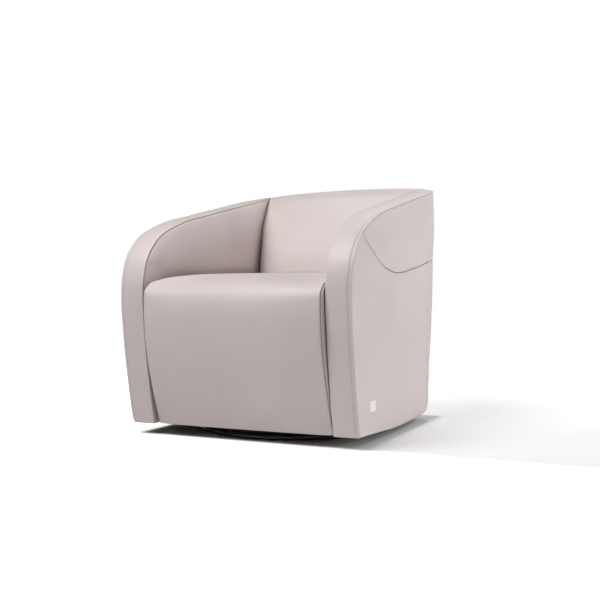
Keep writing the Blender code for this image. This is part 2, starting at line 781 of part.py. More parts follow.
def make_band(side, name, parent):
    """Crowned leather band round the arm's edge, tapering away into the back's corner."""
    sections = []
    for point, normal in zip(ARM_EDGE, curve_normals(ARM_EDGE)):
        outer_x = wall_x(point.x, point.y)
        width = outer_x - ARM_INNER_X
        if width < ARM_TAPER_END:
            break
        crown = BAND_CROWN * min(width / ARM_WIDTH, 1)
        profile = []
        for share, lift in BAND_SECTION_SHARES:
            rise = crown * (1 - (2 * share - 1) ** 2)
            profile.append((ARM_INNER_X + width * share, -BAND_LIP * lift - rise))
        tongue = BAND_TONGUE
        inner_edge = ARM_INNER_X + INNER_SKIN + GAP
        outer_edge = outer_x - OUTER_SKIN - GAP
        if point.x > back_seam_y(point.y) - ARM_WIDTH / 2:
            tongue = 0
            inner_edge, outer_edge = [ARM_INNER_X + width * share for share in BAND_END_SHARES]
        profile += [(outer_edge, 0), (outer_edge, tongue), (inner_edge, tongue), (inner_edge, 0)]
        section = []
        for x, depth in profile:
            place = point + normal * depth
            section.append(Vector((side * x, place.x, max(place.y, BODY_BOTTOM))))
        sections.append(section)
    return loft(name, sections, LEATHER, parent)


def outside_faces(side, suffix, parent):
    """Flat outer side below the yoke seam, and the yoke's side above it."""
    crossing = 1
    while BAND_UNDERSIDE[crossing].y < yoke_z(side_run(BAND_UNDERSIDE[crossing].x)):
        crossing += 1
    before, after = BAND_UNDERSIDE[crossing - 1], BAND_UNDERSIDE[crossing]
    below = yoke_z(side_run(before.x)) - before.y
    above = after.y - yoke_z(side_run(after.x))
    tip = before + (after - before) * below / (below + above)
    rear = back_seam_y(SEAT_TOP) - GAP / 2
    seam_steps = 4 * CURVE_STEPS
    seam = []
    for step in range(1, seam_steps + 1):
        y = tip.x + (rear - tip.x) * (step / seam_steps) ** 2
        seam.append(Vector((y, yoke_z(side_run(y)))))
    hem_rear = hem_z(side_run(BACK_SEAM_Y))
    rear_low = []
    for step in range(CORNER_STEPS):
        z = hem_rear + (seam[-1].y - hem_rear) * step / CORNER_STEPS
        rear_low.append(Vector((back_seam_y(z) - GAP / 2, z)))
    lower = [Vector((BAND_UNDERSIDE[0].x, BODY_BOTTOM))] + BAND_UNDERSIDE[1:crossing] + [tip]
    lower += [point - Vector((0, GAP / 2)) for point in seam] + list(reversed(rear_low))
    hem_steps = 4 * CURVE_STEPS
    for step in range(1, hem_steps):
        y = rear_low[0].x + (lower[0].x - rear_low[0].x) * step / hem_steps
        lower.append(Vector((y, hem_z(side_run(y)))))
    low_x, high_x = mirrored(side, HALF_WIDTH - OUTER_SKIN, HALF_WIDTH)
    prism("outer_side_" + suffix, lower, "X", low_x, high_x, LEATHER, parent)
    top = [point for point in BAND_UNDERSIDE[crossing:] if point.x < rear]
    top.append(Vector((rear, value_at(BAND_UNDERSIDE, rear))))
    upper = [point + Vector((0, GAP / 2)) for point in [tip] + seam] + list(reversed(top))
    prism("yoke_" + suffix, upper, "X", low_x, high_x, LEATHER, parent)


def inner_arm_face(side, suffix, parent):
    """Padded inner side of the arm, from the floor end of the body up to the band."""
    rear = []
    reach = OUTER_SKIN + 4 * GAP
    for step in range(CORNER_STEPS + 1):
        z = BODY_BOTTOM + (TOP_RAIL_TOP - BODY_BOTTOM) * step / CORNER_STEPS
        rear.append(Vector((wall_y(ARM_INNER_X + INNER_SKIN, z, reach), z)))
    last_y = wall_y(ARM_INNER_X + INNER_SKIN, BODY_TOP, reach)
    rear.append(Vector((last_y, value_at(BAND_UNDERSIDE, last_y))))
    top = [point for point in BAND_UNDERSIDE if point.x < last_y]
    outline = [Vector((top[0].x, BODY_BOTTOM))] + top[1:] + list(reversed(rear))
    low_x, high_x = mirrored(side, ARM_INNER_X, ARM_INNER_X + INNER_SKIN)
    prism("arm_inner_" + suffix, outline, "X", low_x, high_x, LEATHER, parent)


def arm_frame(side, suffix, parent):
    """Beech members between the arm's two skins: base rail, front post, top rail and back post."""
    low_x, high_x = mirrored(side, ARM_FRAME_IN, ARM_FRAME_OUT)
    post_rear = ARM_EDGE[0].x + ARM_POST_WIDTH
    upper = offset_curve(ARM_EDGE, BAND_TONGUE + GAP)
    lower = offset_curve(ARM_EDGE, BAND_TONGUE + GAP + ARM_RAIL_DEPTH)
    front = [point for point in upper if point.x < post_rear - GAP]
    post = [Vector((front[0].x, BODY_BOTTOM))] + front
    post.append(Vector((post_rear, value_at(upper, post_rear))))
    post.append(Vector((post_rear, BODY_BOTTOM)))
    prism("arm_front_post_" + suffix, post, "X", low_x, high_x, BEECH, parent)

    rail_front = post_rear + GAP
    top = cut_curve(upper[len(front) - 1:], rail_front, ARM_FRAME_END_Y)
    under = [point for point in lower if point.y > top[0].y - ARM_RAIL_DEPTH and point.x > rail_front]
    under = cut_curve(under, rail_front, ARM_FRAME_END_Y)
    prism("arm_top_rail_" + suffix, top + list(reversed(under)), "X", low_x, high_x, BEECH, parent)

    base = box_outline(rail_front, ARM_FRAME_END_Y, BODY_BOTTOM, BODY_BOTTOM + RAIL_HEIGHT)
    prism("arm_base_rail_" + suffix, base, "X", low_x, high_x, BEECH, parent)

    post_front = ARM_FRAME_END_Y - ARM_RAIL_DEPTH
    foot = BODY_BOTTOM + RAIL_HEIGHT + GAP
    heads = cut_curve(under, post_front, ARM_FRAME_END_Y)
    back_post = [Vector((ARM_FRAME_END_Y, foot)), Vector((post_front, foot))]
    back_post += [point - Vector((0, GAP)) for point in heads]
    prism("arm_back_post_" + suffix, back_post, "X", low_x, high_x, BEECH, parent)


def shaped_rail(name, half_length, front_y, low, high, parent):
    """Plywood rail lying flat, cut to the plan of the outer back along its rear edge."""
    inset = OUTER_SKIN + GAP
    places = [0.0, WALL_FLAT / 2, WALL_FLAT]
    for step in range(1, CORNER_STEPS):
        angle = math.pi / 2 * step / CORNER_STEPS
        places.append(WALL_FLAT + (CORNER_RADIUS - inset) * math.sin(angle))
    places = [x for x in places if x < half_length - GAP]
    rear = [(x, min(wall_y(x, low, inset), wall_y(x, high, inset))) for x in places]
    first = WALL_FLAT + (CORNER_RADIUS - inset) * math.sin(math.pi / 2 * (len(places) - 3) / CORNER_STEPS)
    second = WALL_FLAT + (CORNER_RADIUS - inset) * math.sin(math.pi / 2 * (len(places) - 2) / CORNER_STEPS)
    level = low if wall_y(0, low) < wall_y(0, high) else high
    start, end = wall_y(first, level, inset), wall_y(second, level, inset)
    share = (half_length - first) / (second - first)
    rear.append((half_length, start + (end - start) * share))
    outline = [(-x, y) for x, y in reversed(rear)] + rear[1:]
    outline += [(half_length, front_y), (-half_length, front_y)]
    return prism(name, outline, "Z", low, high, PLYWOOD, parent)


def make_back_frame(parent):
    """Shaped rails, posts and stiles that carry the outer back and the back cushion."""
    inset = OUTER_SKIN + GAP
    base_front = wall_y(0, BODY_BOTTOM, inset) - BACK_RAIL_DEPTH
    shaped_rail("back_base_rail", RAIL_HALF, base_front, BODY_BOTTOM, BOARD_TOP, parent)
    yoke_front = wall_y(0, YOKE_RAIL_BOTTOM, inset) - BACK_RAIL_DEPTH
    shaped_rail("back_yoke_rail", RAIL_HALF, yoke_front, YOKE_RAIL_BOTTOM, YOKE_RAIL_TOP, parent)
    top_front = cushion_rear_y(TOP_RAIL_TOP) + GAP
    shaped_rail("back_top_rail", TOP_RAIL_HALF_LENGTH, top_front, TOP_RAIL_BOTTOM, TOP_RAIL_TOP, parent)
    for side, suffix in ((1, "right"), (-1, "left")):
        low_x, high_x = mirrored(side, BACK_POST_X - PLY_THICKNESS / 2, BACK_POST_X + PLY_THICKNESS / 2)
        low, high = BOARD_TOP + GAP, YOKE_RAIL_BOTTOM - GAP
        rear = []
        for step in range(CORNER_STEPS + 1):
            z = low + (high - low) * step / CORNER_STEPS
            rear.append((wall_y(0, z, inset) - GAP, z))
        front = [(back_post_front_y(z), z) for z in (high, low)]
        prism("back_post_" + suffix, rear + front, "X", low_x, high_x, PLYWOOD, parent)
        rear = []
        front = []
        for step in range(3):
            low, high = YOKE_RAIL_TOP + GAP, TOP_RAIL_BOTTOM - GAP
            z = low + (high - low) * step / 2
            rear.append((wall_y(BACK_POST_X, z, inset) - GAP, z))
            front.append((cushion_rear_y(z) + WEBBING_THICKNESS + 2 * GAP, z))
        outline = rear + list(reversed(front))
        prism("back_stile_" + suffix, outline, "X", low_x, high_x, PLYWOOD, parent)


def make_webbing(parent):
    """Webbing across the stiles that the back cushion leans on."""
    reach = BACK_POST_X + PLY_THICKNESS / 2
    low = YOKE_RAIL_TOP + WEBBING_END_GAP
    high = TOP_RAIL_BOTTOM - WEBBING_END_GAP
    front = [(cushion_rear_y(z) + GAP, z) for z in (low, high)]
    rear = [(y + WEBBING_THICKNESS, z) for y, z in reversed(front)]
    prism("back_webbing", front + rear, "X", -reach, reach, WEBBING, parent)


def spring_ends():
    """Y of the first and last bar of the springs, on the two seat rails."""
    hook = SPRING_WIRE_RADIUS + 2 * GAP + CLIP_THICKNESS + CLIP_REACH
    return seat_rail_front() + hook, seat_rail_back() + RAIL_THICKNESS - hook


def seat_rail_front():
    """Y of the front rail's front face, behind the seat's drop."""
    return value_at(seat_inner_curve(), RAIL_TOP - RAIL_HEIGHT) + GAP


def seat_rail_back():
    """Y of the back rail's front face, so that its rear face meets the back posts."""
    return back_post_front_y(RAIL_TOP - RAIL_HEIGHT) - GAP - RAIL_THICKNESS


def back_post_front_y(z):
    """Y of the back posts' straight front edge, at a height."""
    low, high = BOARD_TOP + GAP, YOKE_RAIL_BOTTOM - GAP
    start = wall_y(0, low, OUTER_SKIN + GAP) - BACK_POST_DEPTH
    end = wall_y(0, high, OUTER_SKIN + GAP) - BACK_POST_DEPTH
    return start + (end - start) * (z - low) / (high - low)


def make_seat_frame(parent):
    """Rails across the chair, swivel board and corner blocks."""
    low = RAIL_TOP - RAIL_HEIGHT
    front = seat_rail_front()
    back = seat_rail_back()
    outline = box_outline(front, front + RAIL_THICKNESS, low, RAIL_TOP)
    front_rail = prism("seat_front_rail", outline, "X", -RAIL_HALF, RAIL_HALF, BEECH, parent)
    outline = box_outline(back, back + RAIL_THICKNESS, low, RAIL_TOP)
    back_rail = prism("seat_back_rail", outline, "X", -RAIL_HALF, RAIL_HALF, BEECH, parent)
    first, last = spring_ends()
    fuse(front_rail, spring_clips(first, 1))
    fuse(back_rail, spring_clips(last, -1))
    base = value_at(seat_inner_curve(), BODY_BOTTOM) + GAP
    base_rear = base + RAIL_THICKNESS
    outline = box_outline(base, base_rear, BODY_BOTTOM, BODY_BOTTOM + RAIL_HEIGHT)
    prism("base_front_rail", outline, "X", -RAIL_HALF, RAIL_HALF, BEECH, parent)
    board_rear = wall_y(0, BODY_BOTTOM, OUTER_SKIN + GAP) - BACK_RAIL_DEPTH - GAP
    half = HALF_WIDTH * SWIVEL_BOARD_SHARE
    outline = box_outline(-half, half, base_rear + GAP, board_rear)
    board = prism("swivel_board", outline, "Z", BODY_BOTTOM, BOARD_TOP, PLYWOOD, parent)
    drill(board, [(0, 0)], PIN_RADIUS + GAP, BALL_LEVEL, BOARD_TOP + NUT_HEIGHT, TURN_STEPS)
    places = circle_places(SCREW_COUNT, UPPER_SCREW_CIRCLE)
    screw_end = UPPER_PLATE_BOTTOM + SCREW_LENGTH
    drill(board, places, SCREW_RADIUS + GAP, BALL_LEVEL, screw_end + GAP, SCREW_SIDES)
    high = BODY_BOTTOM + CORNER_BLOCK_HEIGHT
    for side, suffix in ((1, "right"), (-1, "left")):
        corner = side * (RAIL_HALF - GAP)
        inward = corner - side * CORNER_BLOCK_LEG
        for end, y, turn in (("front", base_rear + GAP, 1), ("back", board_rear, -1)):
            block = [(corner, y), (inward, y), (corner, y + turn * CORNER_BLOCK_LEG)]
            prism(f"corner_block_{end}_{suffix}", block, "Z", BODY_BOTTOM, high, BEECH, parent)


def spring_places():
    """Places across the chair of the springs."""
    middle = (SPRING_COUNT - 1) / 2
    pitch = RAIL_HALF * SPRING_PITCH_SHARE
    return [pitch * (index - middle) for index in range(SPRING_COUNT)]


def make_springs(parent):
    """Zigzag wires that carry the seat, from the front rail to the back one."""
    first, last = spring_ends()
    wire_z = RAIL_TOP + GAP + SPRING_WIRE_RADIUS
    bars = 2 * SPRING_WAVES
    pitch = (last - first) / bars
    for number, x in enumerate(spring_places(), 1):
        name = f"seat_spring_{number}"
        curve = bpy.data.curves.new(name, "CURVE")
        curve.dimensions = "3D"
        curve.bevel_depth = SPRING_WIRE_RADIUS
        curve.bevel_resolution = 0
        curve.use_fill_caps = True
        points = []
        for bar in range(bars + 1):
            reach = SPRING_AMPLITUDE * (1 if bar % 2 else -1)
            y = first + pitch * bar
            points.append((x - reach * SPRING_BAR_SHARE, y, wire_z))
            points.append((x + reach * SPRING_BAR_SHARE, y, wire_z))
            if bar < bars:
                points.append((x + reach, y + pitch / 2, wire_z))
        spline = curve.splines.new("POLY")
        spline.points.add(len(points) - 1)
        for point, place in zip(spline.points, points):
            point.co = (*place, 1)
        add_object(name, curve, STEEL, parent)


def spring_clips(bar_y, turn):
    """Steel clips of one rail, each folded over a spring's end bar and sunk into the rail's top."""
    half = SPRING_WIRE_RADIUS + GAP
    floor = RAIL_TOP - CLIP_THICKNESS / 2
    roof = RAIL_TOP + 2 * GAP + 2 * SPRING_WIRE_RADIUS
    shape = [
        (-half - CLIP_THICKNESS - CLIP_REACH, floor),
        (-half - CLIP_THICKNESS - CLIP_REACH, floor + CLIP_THICKNESS),
        (-half - CLIP_THICKNESS, floor + CLIP_THICKNESS),
        (-half - CLIP_THICKNESS, roof + CLIP_THICKNESS),
        (half + CLIP_THICKNESS, roof + CLIP_THICKNESS),
        (half + CLIP_THICKNESS, RAIL_TOP + SPRING_WIRE_RADIUS),
        (half, RAIL_TOP + SPRING_WIRE_RADIUS),
        (half, roof),
        (-half, roof),
        (-half, floor),
    ]
    bm = bmesh.new()
    outline = [(bar_y + turn * y, z) for y, z in shape]
    for x in spring_places():
        add_prism(bm, outline, "X", x - CLIP_WIDTH / 2, x + CLIP_WIDTH / 2)
    return bm


def make_dust_cover(parent):
    """Cloth under the frame, open round the swivel."""
    reach = HALF_WIDTH - COVER_INSET
    front_y = COVER_FRONT_DISTANCE - HALF_DEPTH
    outline = [(-reach, front_y), (reach, front_y)]
    radius = CORNER_RADIUS - COVER_INSET
    arc = []
    for step in range(CORNER_STEPS + 1):
        angle = math.pi / 2 * step / CORNER_STEPS
        y = back_y(BODY_BOTTOM) - CORNER_RADIUS + radius * math.sin(angle)
        arc.append((WALL_FLAT + radius * math.cos(angle), y))
    outline += arc + [(-x, y) for x, y in reversed(arc)]
    high = BODY_BOTTOM - GAP
    cover = prism("dust_cover", outline, "Z", high - COVER_THICKNESS, high, CLOTH, parent)
    drill(cover, [(0, 0)], COVER_HOLE_RADIUS, DISC_TOP, RAIL_TOP, TURN_STEPS)


def make_tag(parent):
    """Blank cloth tag sewn flat on the right outer side."""
    low = BODY_BOTTOM + TAG_HEIGHT
    front_y = TAG_FRONT_DISTANCE - HALF_DEPTH
    outline = box_outline(front_y, front_y + TAG_LENGTH, low, low + TAG_WIDTH)
    prism("side_tag", outline, "X", HALF_WIDTH + GAP, HALF_WIDTH + GAP + TAG_THICKNESS, LABEL, parent)


def add_axis(name):
    """Empty on the swivel's axis that carries the pieces of one moving body."""
    axis = bpy.data.objects.new(name, None)
    bpy.context.scene.collection.objects.link(axis)
    return axis


def main():
    """Build the chair."""
    clear_scene()
    base = add_axis("base")
    ring = add_axis("ball_ring")
    seat = add_axis("seat_body")
    make_floor_disc(base)
    make_swivel(base, ring, seat)
    make_seat_frame(seat)
    make_back_frame(seat)
    make_webbing(seat)
    make_springs(seat)
    make_dust_cover(seat)
    for side, suffix in ((1, "right"), (-1, "left")):
        arm_frame(side, suffix, seat)
        inner_arm_face(side, suffix, seat)
        make_band(side, "arm_band_" + suffix, seat)
        outside_faces(side, suffix, seat)
    wall_patch("outer_back", hem_z, lambda run: yoke_z(run) - GAP / 2, seat, 8)
    wall_patch("yoke_back", lambda run: yoke_z(run) + GAP / 2, shell_top_z, seat, 6)
    make_seat(seat)
    make_back_cushion(seat)
    make_tag(seat)


main()
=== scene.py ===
"""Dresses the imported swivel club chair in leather, thread and lacquer, and sets one studio stage.

Every length is in metres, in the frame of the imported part: the chair faces -Y, its swivel turns
about the Z axis, and the floor is the plane z = 0.
"""

import json
import math

import bmesh
import bpy
import numpy as np
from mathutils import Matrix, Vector, geometry


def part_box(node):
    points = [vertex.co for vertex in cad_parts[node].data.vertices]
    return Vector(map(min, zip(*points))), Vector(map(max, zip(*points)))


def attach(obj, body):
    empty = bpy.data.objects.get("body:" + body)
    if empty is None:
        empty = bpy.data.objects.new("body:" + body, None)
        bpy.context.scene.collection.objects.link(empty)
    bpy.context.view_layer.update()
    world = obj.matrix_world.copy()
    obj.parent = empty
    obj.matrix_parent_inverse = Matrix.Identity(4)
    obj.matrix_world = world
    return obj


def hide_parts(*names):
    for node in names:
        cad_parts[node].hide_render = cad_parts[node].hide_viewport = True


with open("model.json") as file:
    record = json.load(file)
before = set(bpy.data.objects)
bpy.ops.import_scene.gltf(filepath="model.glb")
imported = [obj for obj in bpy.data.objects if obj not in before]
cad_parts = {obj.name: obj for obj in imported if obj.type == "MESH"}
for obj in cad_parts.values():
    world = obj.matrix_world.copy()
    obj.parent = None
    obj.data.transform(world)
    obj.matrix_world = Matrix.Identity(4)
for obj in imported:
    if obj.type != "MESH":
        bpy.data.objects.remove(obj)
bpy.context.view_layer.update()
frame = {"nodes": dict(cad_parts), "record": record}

bl_info = {
    "name": "Swivel Club Chair Dressing",
    "version": (1, 0, 0),
    "blender": (4, 5, 0),
    "location": "3D View > Sidebar > Club Chair",
    "description": "Leather covers, seams, stitches and finishes for the swivel club chair",
    "category": "Object",
}

SEAT_BODY = "seat_body"
SIDES = ((1, "right"), (-1, "left"))
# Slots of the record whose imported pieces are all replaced
REPLACED_SLOTS = ("leather", "tag_cloth")

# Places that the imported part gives
BAND_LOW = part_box("arm_band_right")[0]
SEAT_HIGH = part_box("seat_cushion")[1]
TAG_LOW, TAG_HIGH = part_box("side_tag")
HALF_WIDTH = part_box("outer_side_right")[1].x
HALF_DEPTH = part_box("yoke_back")[1].y
ARM_INNER_X = BAND_LOW.x
BODY_BOTTOM = BAND_LOW.z
BODY_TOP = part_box("back_cushion")[1].z
BODY_HEIGHT = BODY_TOP - BODY_BOTTOM
SEAT_REAR_Y = SEAT_HIGH.y
SEAT_CROWN_TOP = SEAT_HIGH.z

# Plan of the back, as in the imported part, and ways round its wall from the middle of the back
CORNER_RADIUS = 0.144
BACK_SEAM_INSET = 0.196
BACK_SEAM_Y = HALF_DEPTH - BACK_SEAM_INSET
BACK_SEAM_LEAD = 0.004
WALL_FLAT = HALF_WIDTH - CORNER_RADIUS
WALL_TURN = WALL_FLAT + CORNER_RADIUS * math.pi / 2
WALL_RUN = WALL_TURN + HALF_DEPTH - CORNER_RADIUS + HALF_DEPTH
SEAM_RUN = WALL_TURN + HALF_DEPTH - CORNER_RADIUS - BACK_SEAM_Y
# Where the wall's top turns in to the cushion's end and the arm band runs out
BAND_END_Y = 0.3838
BAND_END_RISE = 0.0006

# Outlines, in shares of half the body's depth and of its height
ARM_EDGE_SHARES = (
    (-0.864, 0.0), (-0.910, 0.120), (-0.956, 0.264), (-0.985, 0.388), (-1.000, 0.495),
    (-0.988, 0.580), (-0.951, 0.643), (-0.842, 0.716), (-0.569, 0.796), (-0.136, 0.857),
    (0.353, 0.915), (0.599, 0.944), (0.780, 0.962), (0.922, 0.975),
)
SEAT_FRONT_SHARES = (
    (-0.844, 0.0), (-0.939, 0.135), (-1.000, 0.240), (-1.044, 0.352), (-1.060, 0.470),
    (-1.052, 0.522), (-1.005, 0.552), (-0.881, 0.569), (-0.608, 0.584), (-0.122, 0.591),
)
# Share of the height, then of half the depth: the outer back, the crevice behind the back cushion,
# and the cushion's edge against the inner arm
BACK_LEAN_SHARES = (
    (0.0, 0.844), (0.170, 0.876), (0.356, 0.925), (0.515, 0.957), (0.674, 0.981),
    (0.807, 1.000), (0.900, 0.993), (1.0, 0.980),
)
CREVICE_SHARES = (
    (0.595, 0.690), (0.680, 0.725), (0.831, 0.815), (0.937, 0.880), (1.0, 0.935),
)
CUSHION_EDGE_SHARES = (
    (0.560, 0.682), (0.6076, 0.687), (0.738, 0.719), (0.832, 0.756), (0.886, 0.802),
    (0.927, 0.859), (0.968, 0.925), (1.0, 0.975),
)
# Share of the way round the wall, then of the height
YOKE_SEAM_SHARES = (
    (0.0, 0.676), (0.200, 0.672), (0.380, 0.651), (0.551, 0.612), (0.711, 0.595),
    (0.792, 0.619), (0.883, 0.686), (0.945, 0.735),
)
# Share of the way round the wall, then of the lower edge's drop
HEM_SHARES = (
    (0.0, 0.0), (0.220, 0.0), (0.385, 0.30), (0.509, 0.78), (0.583, 0.96), (0.638, 1.0),
    (0.694, 0.95), (0.814, 0.49), (0.881, 0.21), (0.954, 0.0),
)
HEM_DROP = 0.0115
# How far the lower edge is drawn in at most, so that the frame behind it stays covered
HEM_DEPTH = 0.0068
# Way round the wall, then height of the lower edge's roll to the right and to the left
HEM_ROLLS = (
    (0.0, 0.20, 0.36, 0.50, 0.68, 0.90, WALL_RUN),
    (0.012, 0.018, 0.040, 0.032, 0.006, 0.004, 0.004),
    (0.012, 0.012, 0.022, 0.018, 0.012, 0.024, 0.026),
)
CURVE_STEPS = 12
# Y along the left arm, then how far its top is worn down there, and what is left of its crown
WORN_TOP = (
    (-0.360, 0.0), (-0.320, 0.0010), (-0.292, 0.0020), (-0.261, 0.0034), (-0.230, 0.0048),
    (-0.198, 0.0058), (-0.100, 0.0066), (0.250, 0.0074), (0.330, 0.0045), (0.379, 0.0020),
)
WORN_CROWN = 0.25
WORN_POWER = 8

# How a skin rolls into its seams: distance from a seam, then depth below the padding's surface
SEAM_PROFILE = (
    (0.0, 0.0050), (0.0005, 0.0026), (0.0007, 0.0018), (0.0011, 0.0011), (0.0018, 0.0005),
    (0.0028, 0.0001), (0.0040, 0.0),
)
SKIN_DEPTH = 0.009
# Points of a skin: their distances from the seam, the share of it that they keep from other seams,
# their spacing along the seam and in the open, and how near two of them are made one
RING_DISTANCES = (0.0005, 0.0007, 0.0011, 0.0018, 0.0028, 0.0040, 0.0065, 0.0110, 0.0180)
RING_ROOM = 0.9
EDGE_STEP = 0.0040
GRID_STEP = 0.0120
WELD = 1e-7
# Degrees between two faces from which their edge is drawn sharp
SHARP_ANGLE = 55.0
PUCKER_DEPTH = 0.00035
PUCKER_REACH = 0.014
# Puckers along and across: waves to a length, how far they sway, and the sway's own waves
PUCKER_WAVES = ((370, 2.1, 210), (410, 1.7, 160))
# Added to a length that may be nothing before something is divided by it
NOT_ZERO = 1e-15
# How full it is away from them: the padding's reach, the share of a full seam that the flat rear
# seam has, the widths of the seams' rolls, and how near to a border its hem or its rear seam lies
PADDING_REACH = 0.05
REAR_SEAM_SHARE = 0.12
YOKE_SPREAD = 1.5
INNER_SPREAD = 2.2
HEM_MARGIN = 0.002
SEAM_MARGIN = 0.001
# Points along the seams of the sides, and along those of the back
SEAM_POINTS, REAR_POINTS, YOKE_REAR_POINTS, HEM_POINTS, BACK_POINTS = 40, 30, 20, 60, 161

# Inner arm: its rear end, the length before it that is sewn only along the top, and where the
# padding fades (start, then length) at the cushion, at the seat and at the band's seam
INNER_REAR_Y = 0.372
INNER_OPEN, INNER_END, INNER_TOP = 0.08, 0.004, 0.003
CUSHION_FADE = (0.020, 0.070)
SEAT_FADE = (-0.004, 0.045)
BAND_FADE = 0.034
# The leather is drawn in beside the seat. The left arm keeps a share of its roll at the seat's
# front corner, ahead of a y and above a z, because the seat lies a little to the right
SEAT_PINCH, PINCH_RISE = 0.0020, 0.020
FRONT_ROLL = 0.62
FRONT_ROLL_Y, FRONT_ROLL_LENGTH = -0.300, 0.080
FRONT_ROLL_RISE = (0.340, 0.070)

# Distance in from the band's side, then height above the arm's edge, from under the next skin, up
# through the seam's groove, to the rolled top
BAND_EDGE = (
    (0.0060, -0.0040), (0.0044, -0.0030), (0.0028, -0.0016), (0.0015, -0.0004),
    (0.0006, 0.0006), (0.0001, 0.0014), (0.0, 0.0021), (0.0004, 0.0028), (0.0013, 0.0033),
    (0.0027, 0.0036), (0.0044, 0.0037),
)
# Places of the section's points, in shares of the way from the rolled edge to the furrow, then of
# the furrow's half width, then of the way from the furrow to the outer rolled edge
CROWN_SHARES = (0.06, 0.14, 0.25, 0.38, 0.52, 0.66, 0.80, 0.92)
FURROW_SHARES = (-1.0, -0.5, 0.0, 0.5, 1.0)
BESIDE_SHARES = (0.35, 0.70)
FURROW_DEPTH = 0.0007
FURROW_REACH = 0.0018
# Widths below which the band grows flatter, its edges tighter, its stitches nearer the middle, and
# where it ends
FLAT_WIDTH = 0.012
TIGHT_WIDTH = 0.030
STITCH_SHARE = 0.38
LEAST_WIDTH = 0.0008
# Stations along the band, and how its inner edge rises to the back cushion's top behind
BAND_STEP, BAND_END_STEP, BAND_END_WAY = 0.006, 0.0015, 0.04
BAND_LIFT = (0.315, 0.055)
BAND_LIFT_GAP = 0.0006
# Stitches: pitch, length, radius, sides, and for each ring its place, girth and lift in shares
STITCH_PITCH, STITCH_LENGTH, STITCH_RADIUS = 0.0052, 0.0040, 0.00042
STITCH_SIDES = 5
STITCH_RINGS = (
    (0.0, 0.15, -0.6), (0.12, 0.8, -0.1), (0.3, 1.0, 0.15),
    (0.7, 1.0, 0.15), (0.88, 0.8, -0.1), (1.0, 0.15, -0.6),
)
# Topstitching stops where the band is narrower than this many of its insets
STITCHED_WIDTH = 4

# Seat: how deep its solid is, how it swells, crowns, spreads and lies a little to the right
SEAT_DROP = 0.045
SEAT_SWELL = 0.006
SEAT_CROWN = 0.003
SEAT_SHIFT = 0.0036
SEAT_TUCK = 0.0025
SEAT_SPREAD = 0.0008
SEAT_SIDE_X = SEAT_HIGH.x + SEAT_SPREAD
# Steps of the profile over which the front's upper edge is rounded off between the seat's sides
PROFILE_STEP = 0.008
SOFT_STEPS = 5
TOP_FADE = 0.25
SEAT_FLAT_STEPS = 16
# The left side stands out a little more towards the floor, and is drawn in above
SEAT_FOOT_SPREAD = 0.0085
SEAT_FOOT_TOP = 0.30
SEAT_FOOT_START = 0.28
# Distance in from the seat's side, then depth below its crowned top, over the rolled edge and
# through the boxing seam at the corner
SEAT_EDGE = (
    (0.110, 0.0), (0.080, 0.0002), (0.055, 0.0006), (0.036, 0.0012), (0.024, 0.0018),
    (0.0160, 0.0024), (0.0110, 0.0030), (0.0080, 0.0036), (0.0062, 0.0044), (0.0052, 0.0054),
    (0.0048, 0.0066), (0.0052, 0.0084), (0.0044, 0.0092), (0.0034, 0.0083), (0.0024, 0.0080),
    (0.0014, 0.0085), (0.0005, 0.0098), (0.0, 0.0120), (0.0, 0.0200), (0.0, 0.0300),
)
# Where the seat is held as it swells: beside its seams, at its foot and under the back cushion
SEAT_SEWN, SEAT_FOOT = 0.012, 0.02
CREVICE_FRONT_Y = 0.230
# Swelling of both cushions as cloth, and the most of it that is kept
SWELL_CAP = 0.004
CLOTH_FRAMES = 20
CLOTH = {
    "quality": 6, "mass": 0.4, "tension_stiffness": 60.0, "compression_stiffness": 60.0,
    "bending_stiffness": 8.0, "use_pressure": True, "uniform_pressure_force": 4.0,
}

# Back cushion: its clearances, the rise of its top, and the fall of its rear seam
CUSHION_GAP = 0.0012
TOP_DROP, TOP_FALL, TOP_TILT = 0.0030, 0.0105, 0.0045
SEAM_DROP = 0.020
# Share of its height, then how far in from its side it takes to reach its full thickness
END_REACH = ((0.0, 0.35, 0.6, 1.0), (0.052, 0.034, 0.030, 0.060))
EDGE_FALL = 1.7
FOOT_BULGE, TOP_BULGE, SIDE_LOSS = 0.044, 0.024, 0.10
FOOT_ROLL = 0.004
# The roll over the top: its depth, where its peak lies, and the ways and steps of its bends
TOP_ROLL = 0.062
PEAK_SHARE, PEAK_SHIFT = 0.60, 0.34
FACE_WAY, PEAK_WAY, OVER_WAY, SEAM_WAY = 0.034, 0.50, 0.55, 0.5
FACE_STEPS, TOP_STEPS, OVER_STEPS, REAR_STEPS = 34, 14, 8, 12
# What is held as it swells: its foot, all behind a place on the roll, and its sides
HELD_FOOT, HELD_STEPS, HELD_SHARE = 3, 6, 0.95
# The rear, inside the seam: its first place, where its points start, and how deep it lies
SEAM_TURN = (0.005, 0.0015)
REAR_START, REAR_GAP, REAR_DEPTH = 0.004, 0.012, 0.006
# Stations across it, in shares of half its width: start, end and count of two runs, then the last
CUSHION_RUNS = ((0.0, 0.78, 14), (0.78, 0.94, 8))
CUSHION_ENDS = (0.94, 0.955, 0.968, 0.979, 0.988, 0.995, 1.0)

# Tag: points across and up, how it bows, and how far it stands out and reaches back
TAG_COLUMNS, TAG_ROWS = 13, 15
TAG_BOW, TAG_BOW_REACH, TAG_OUT, TAG_BACK = 0.0010, 0.004, 0.0012, 0.0010

# Camera that the photograph was taken with
CAMERA_PLACE = (1.17869, -2.53532, 0.41928)
CAMERA_AIM = (-0.41786, 0.90838, -0.01540)
CAMERA_LENS_MM = 55.588
CAMERA_SENSOR_MM = 36.0
CAMERA_NEAR = 0.05
FLOOR_REACH = 14.0
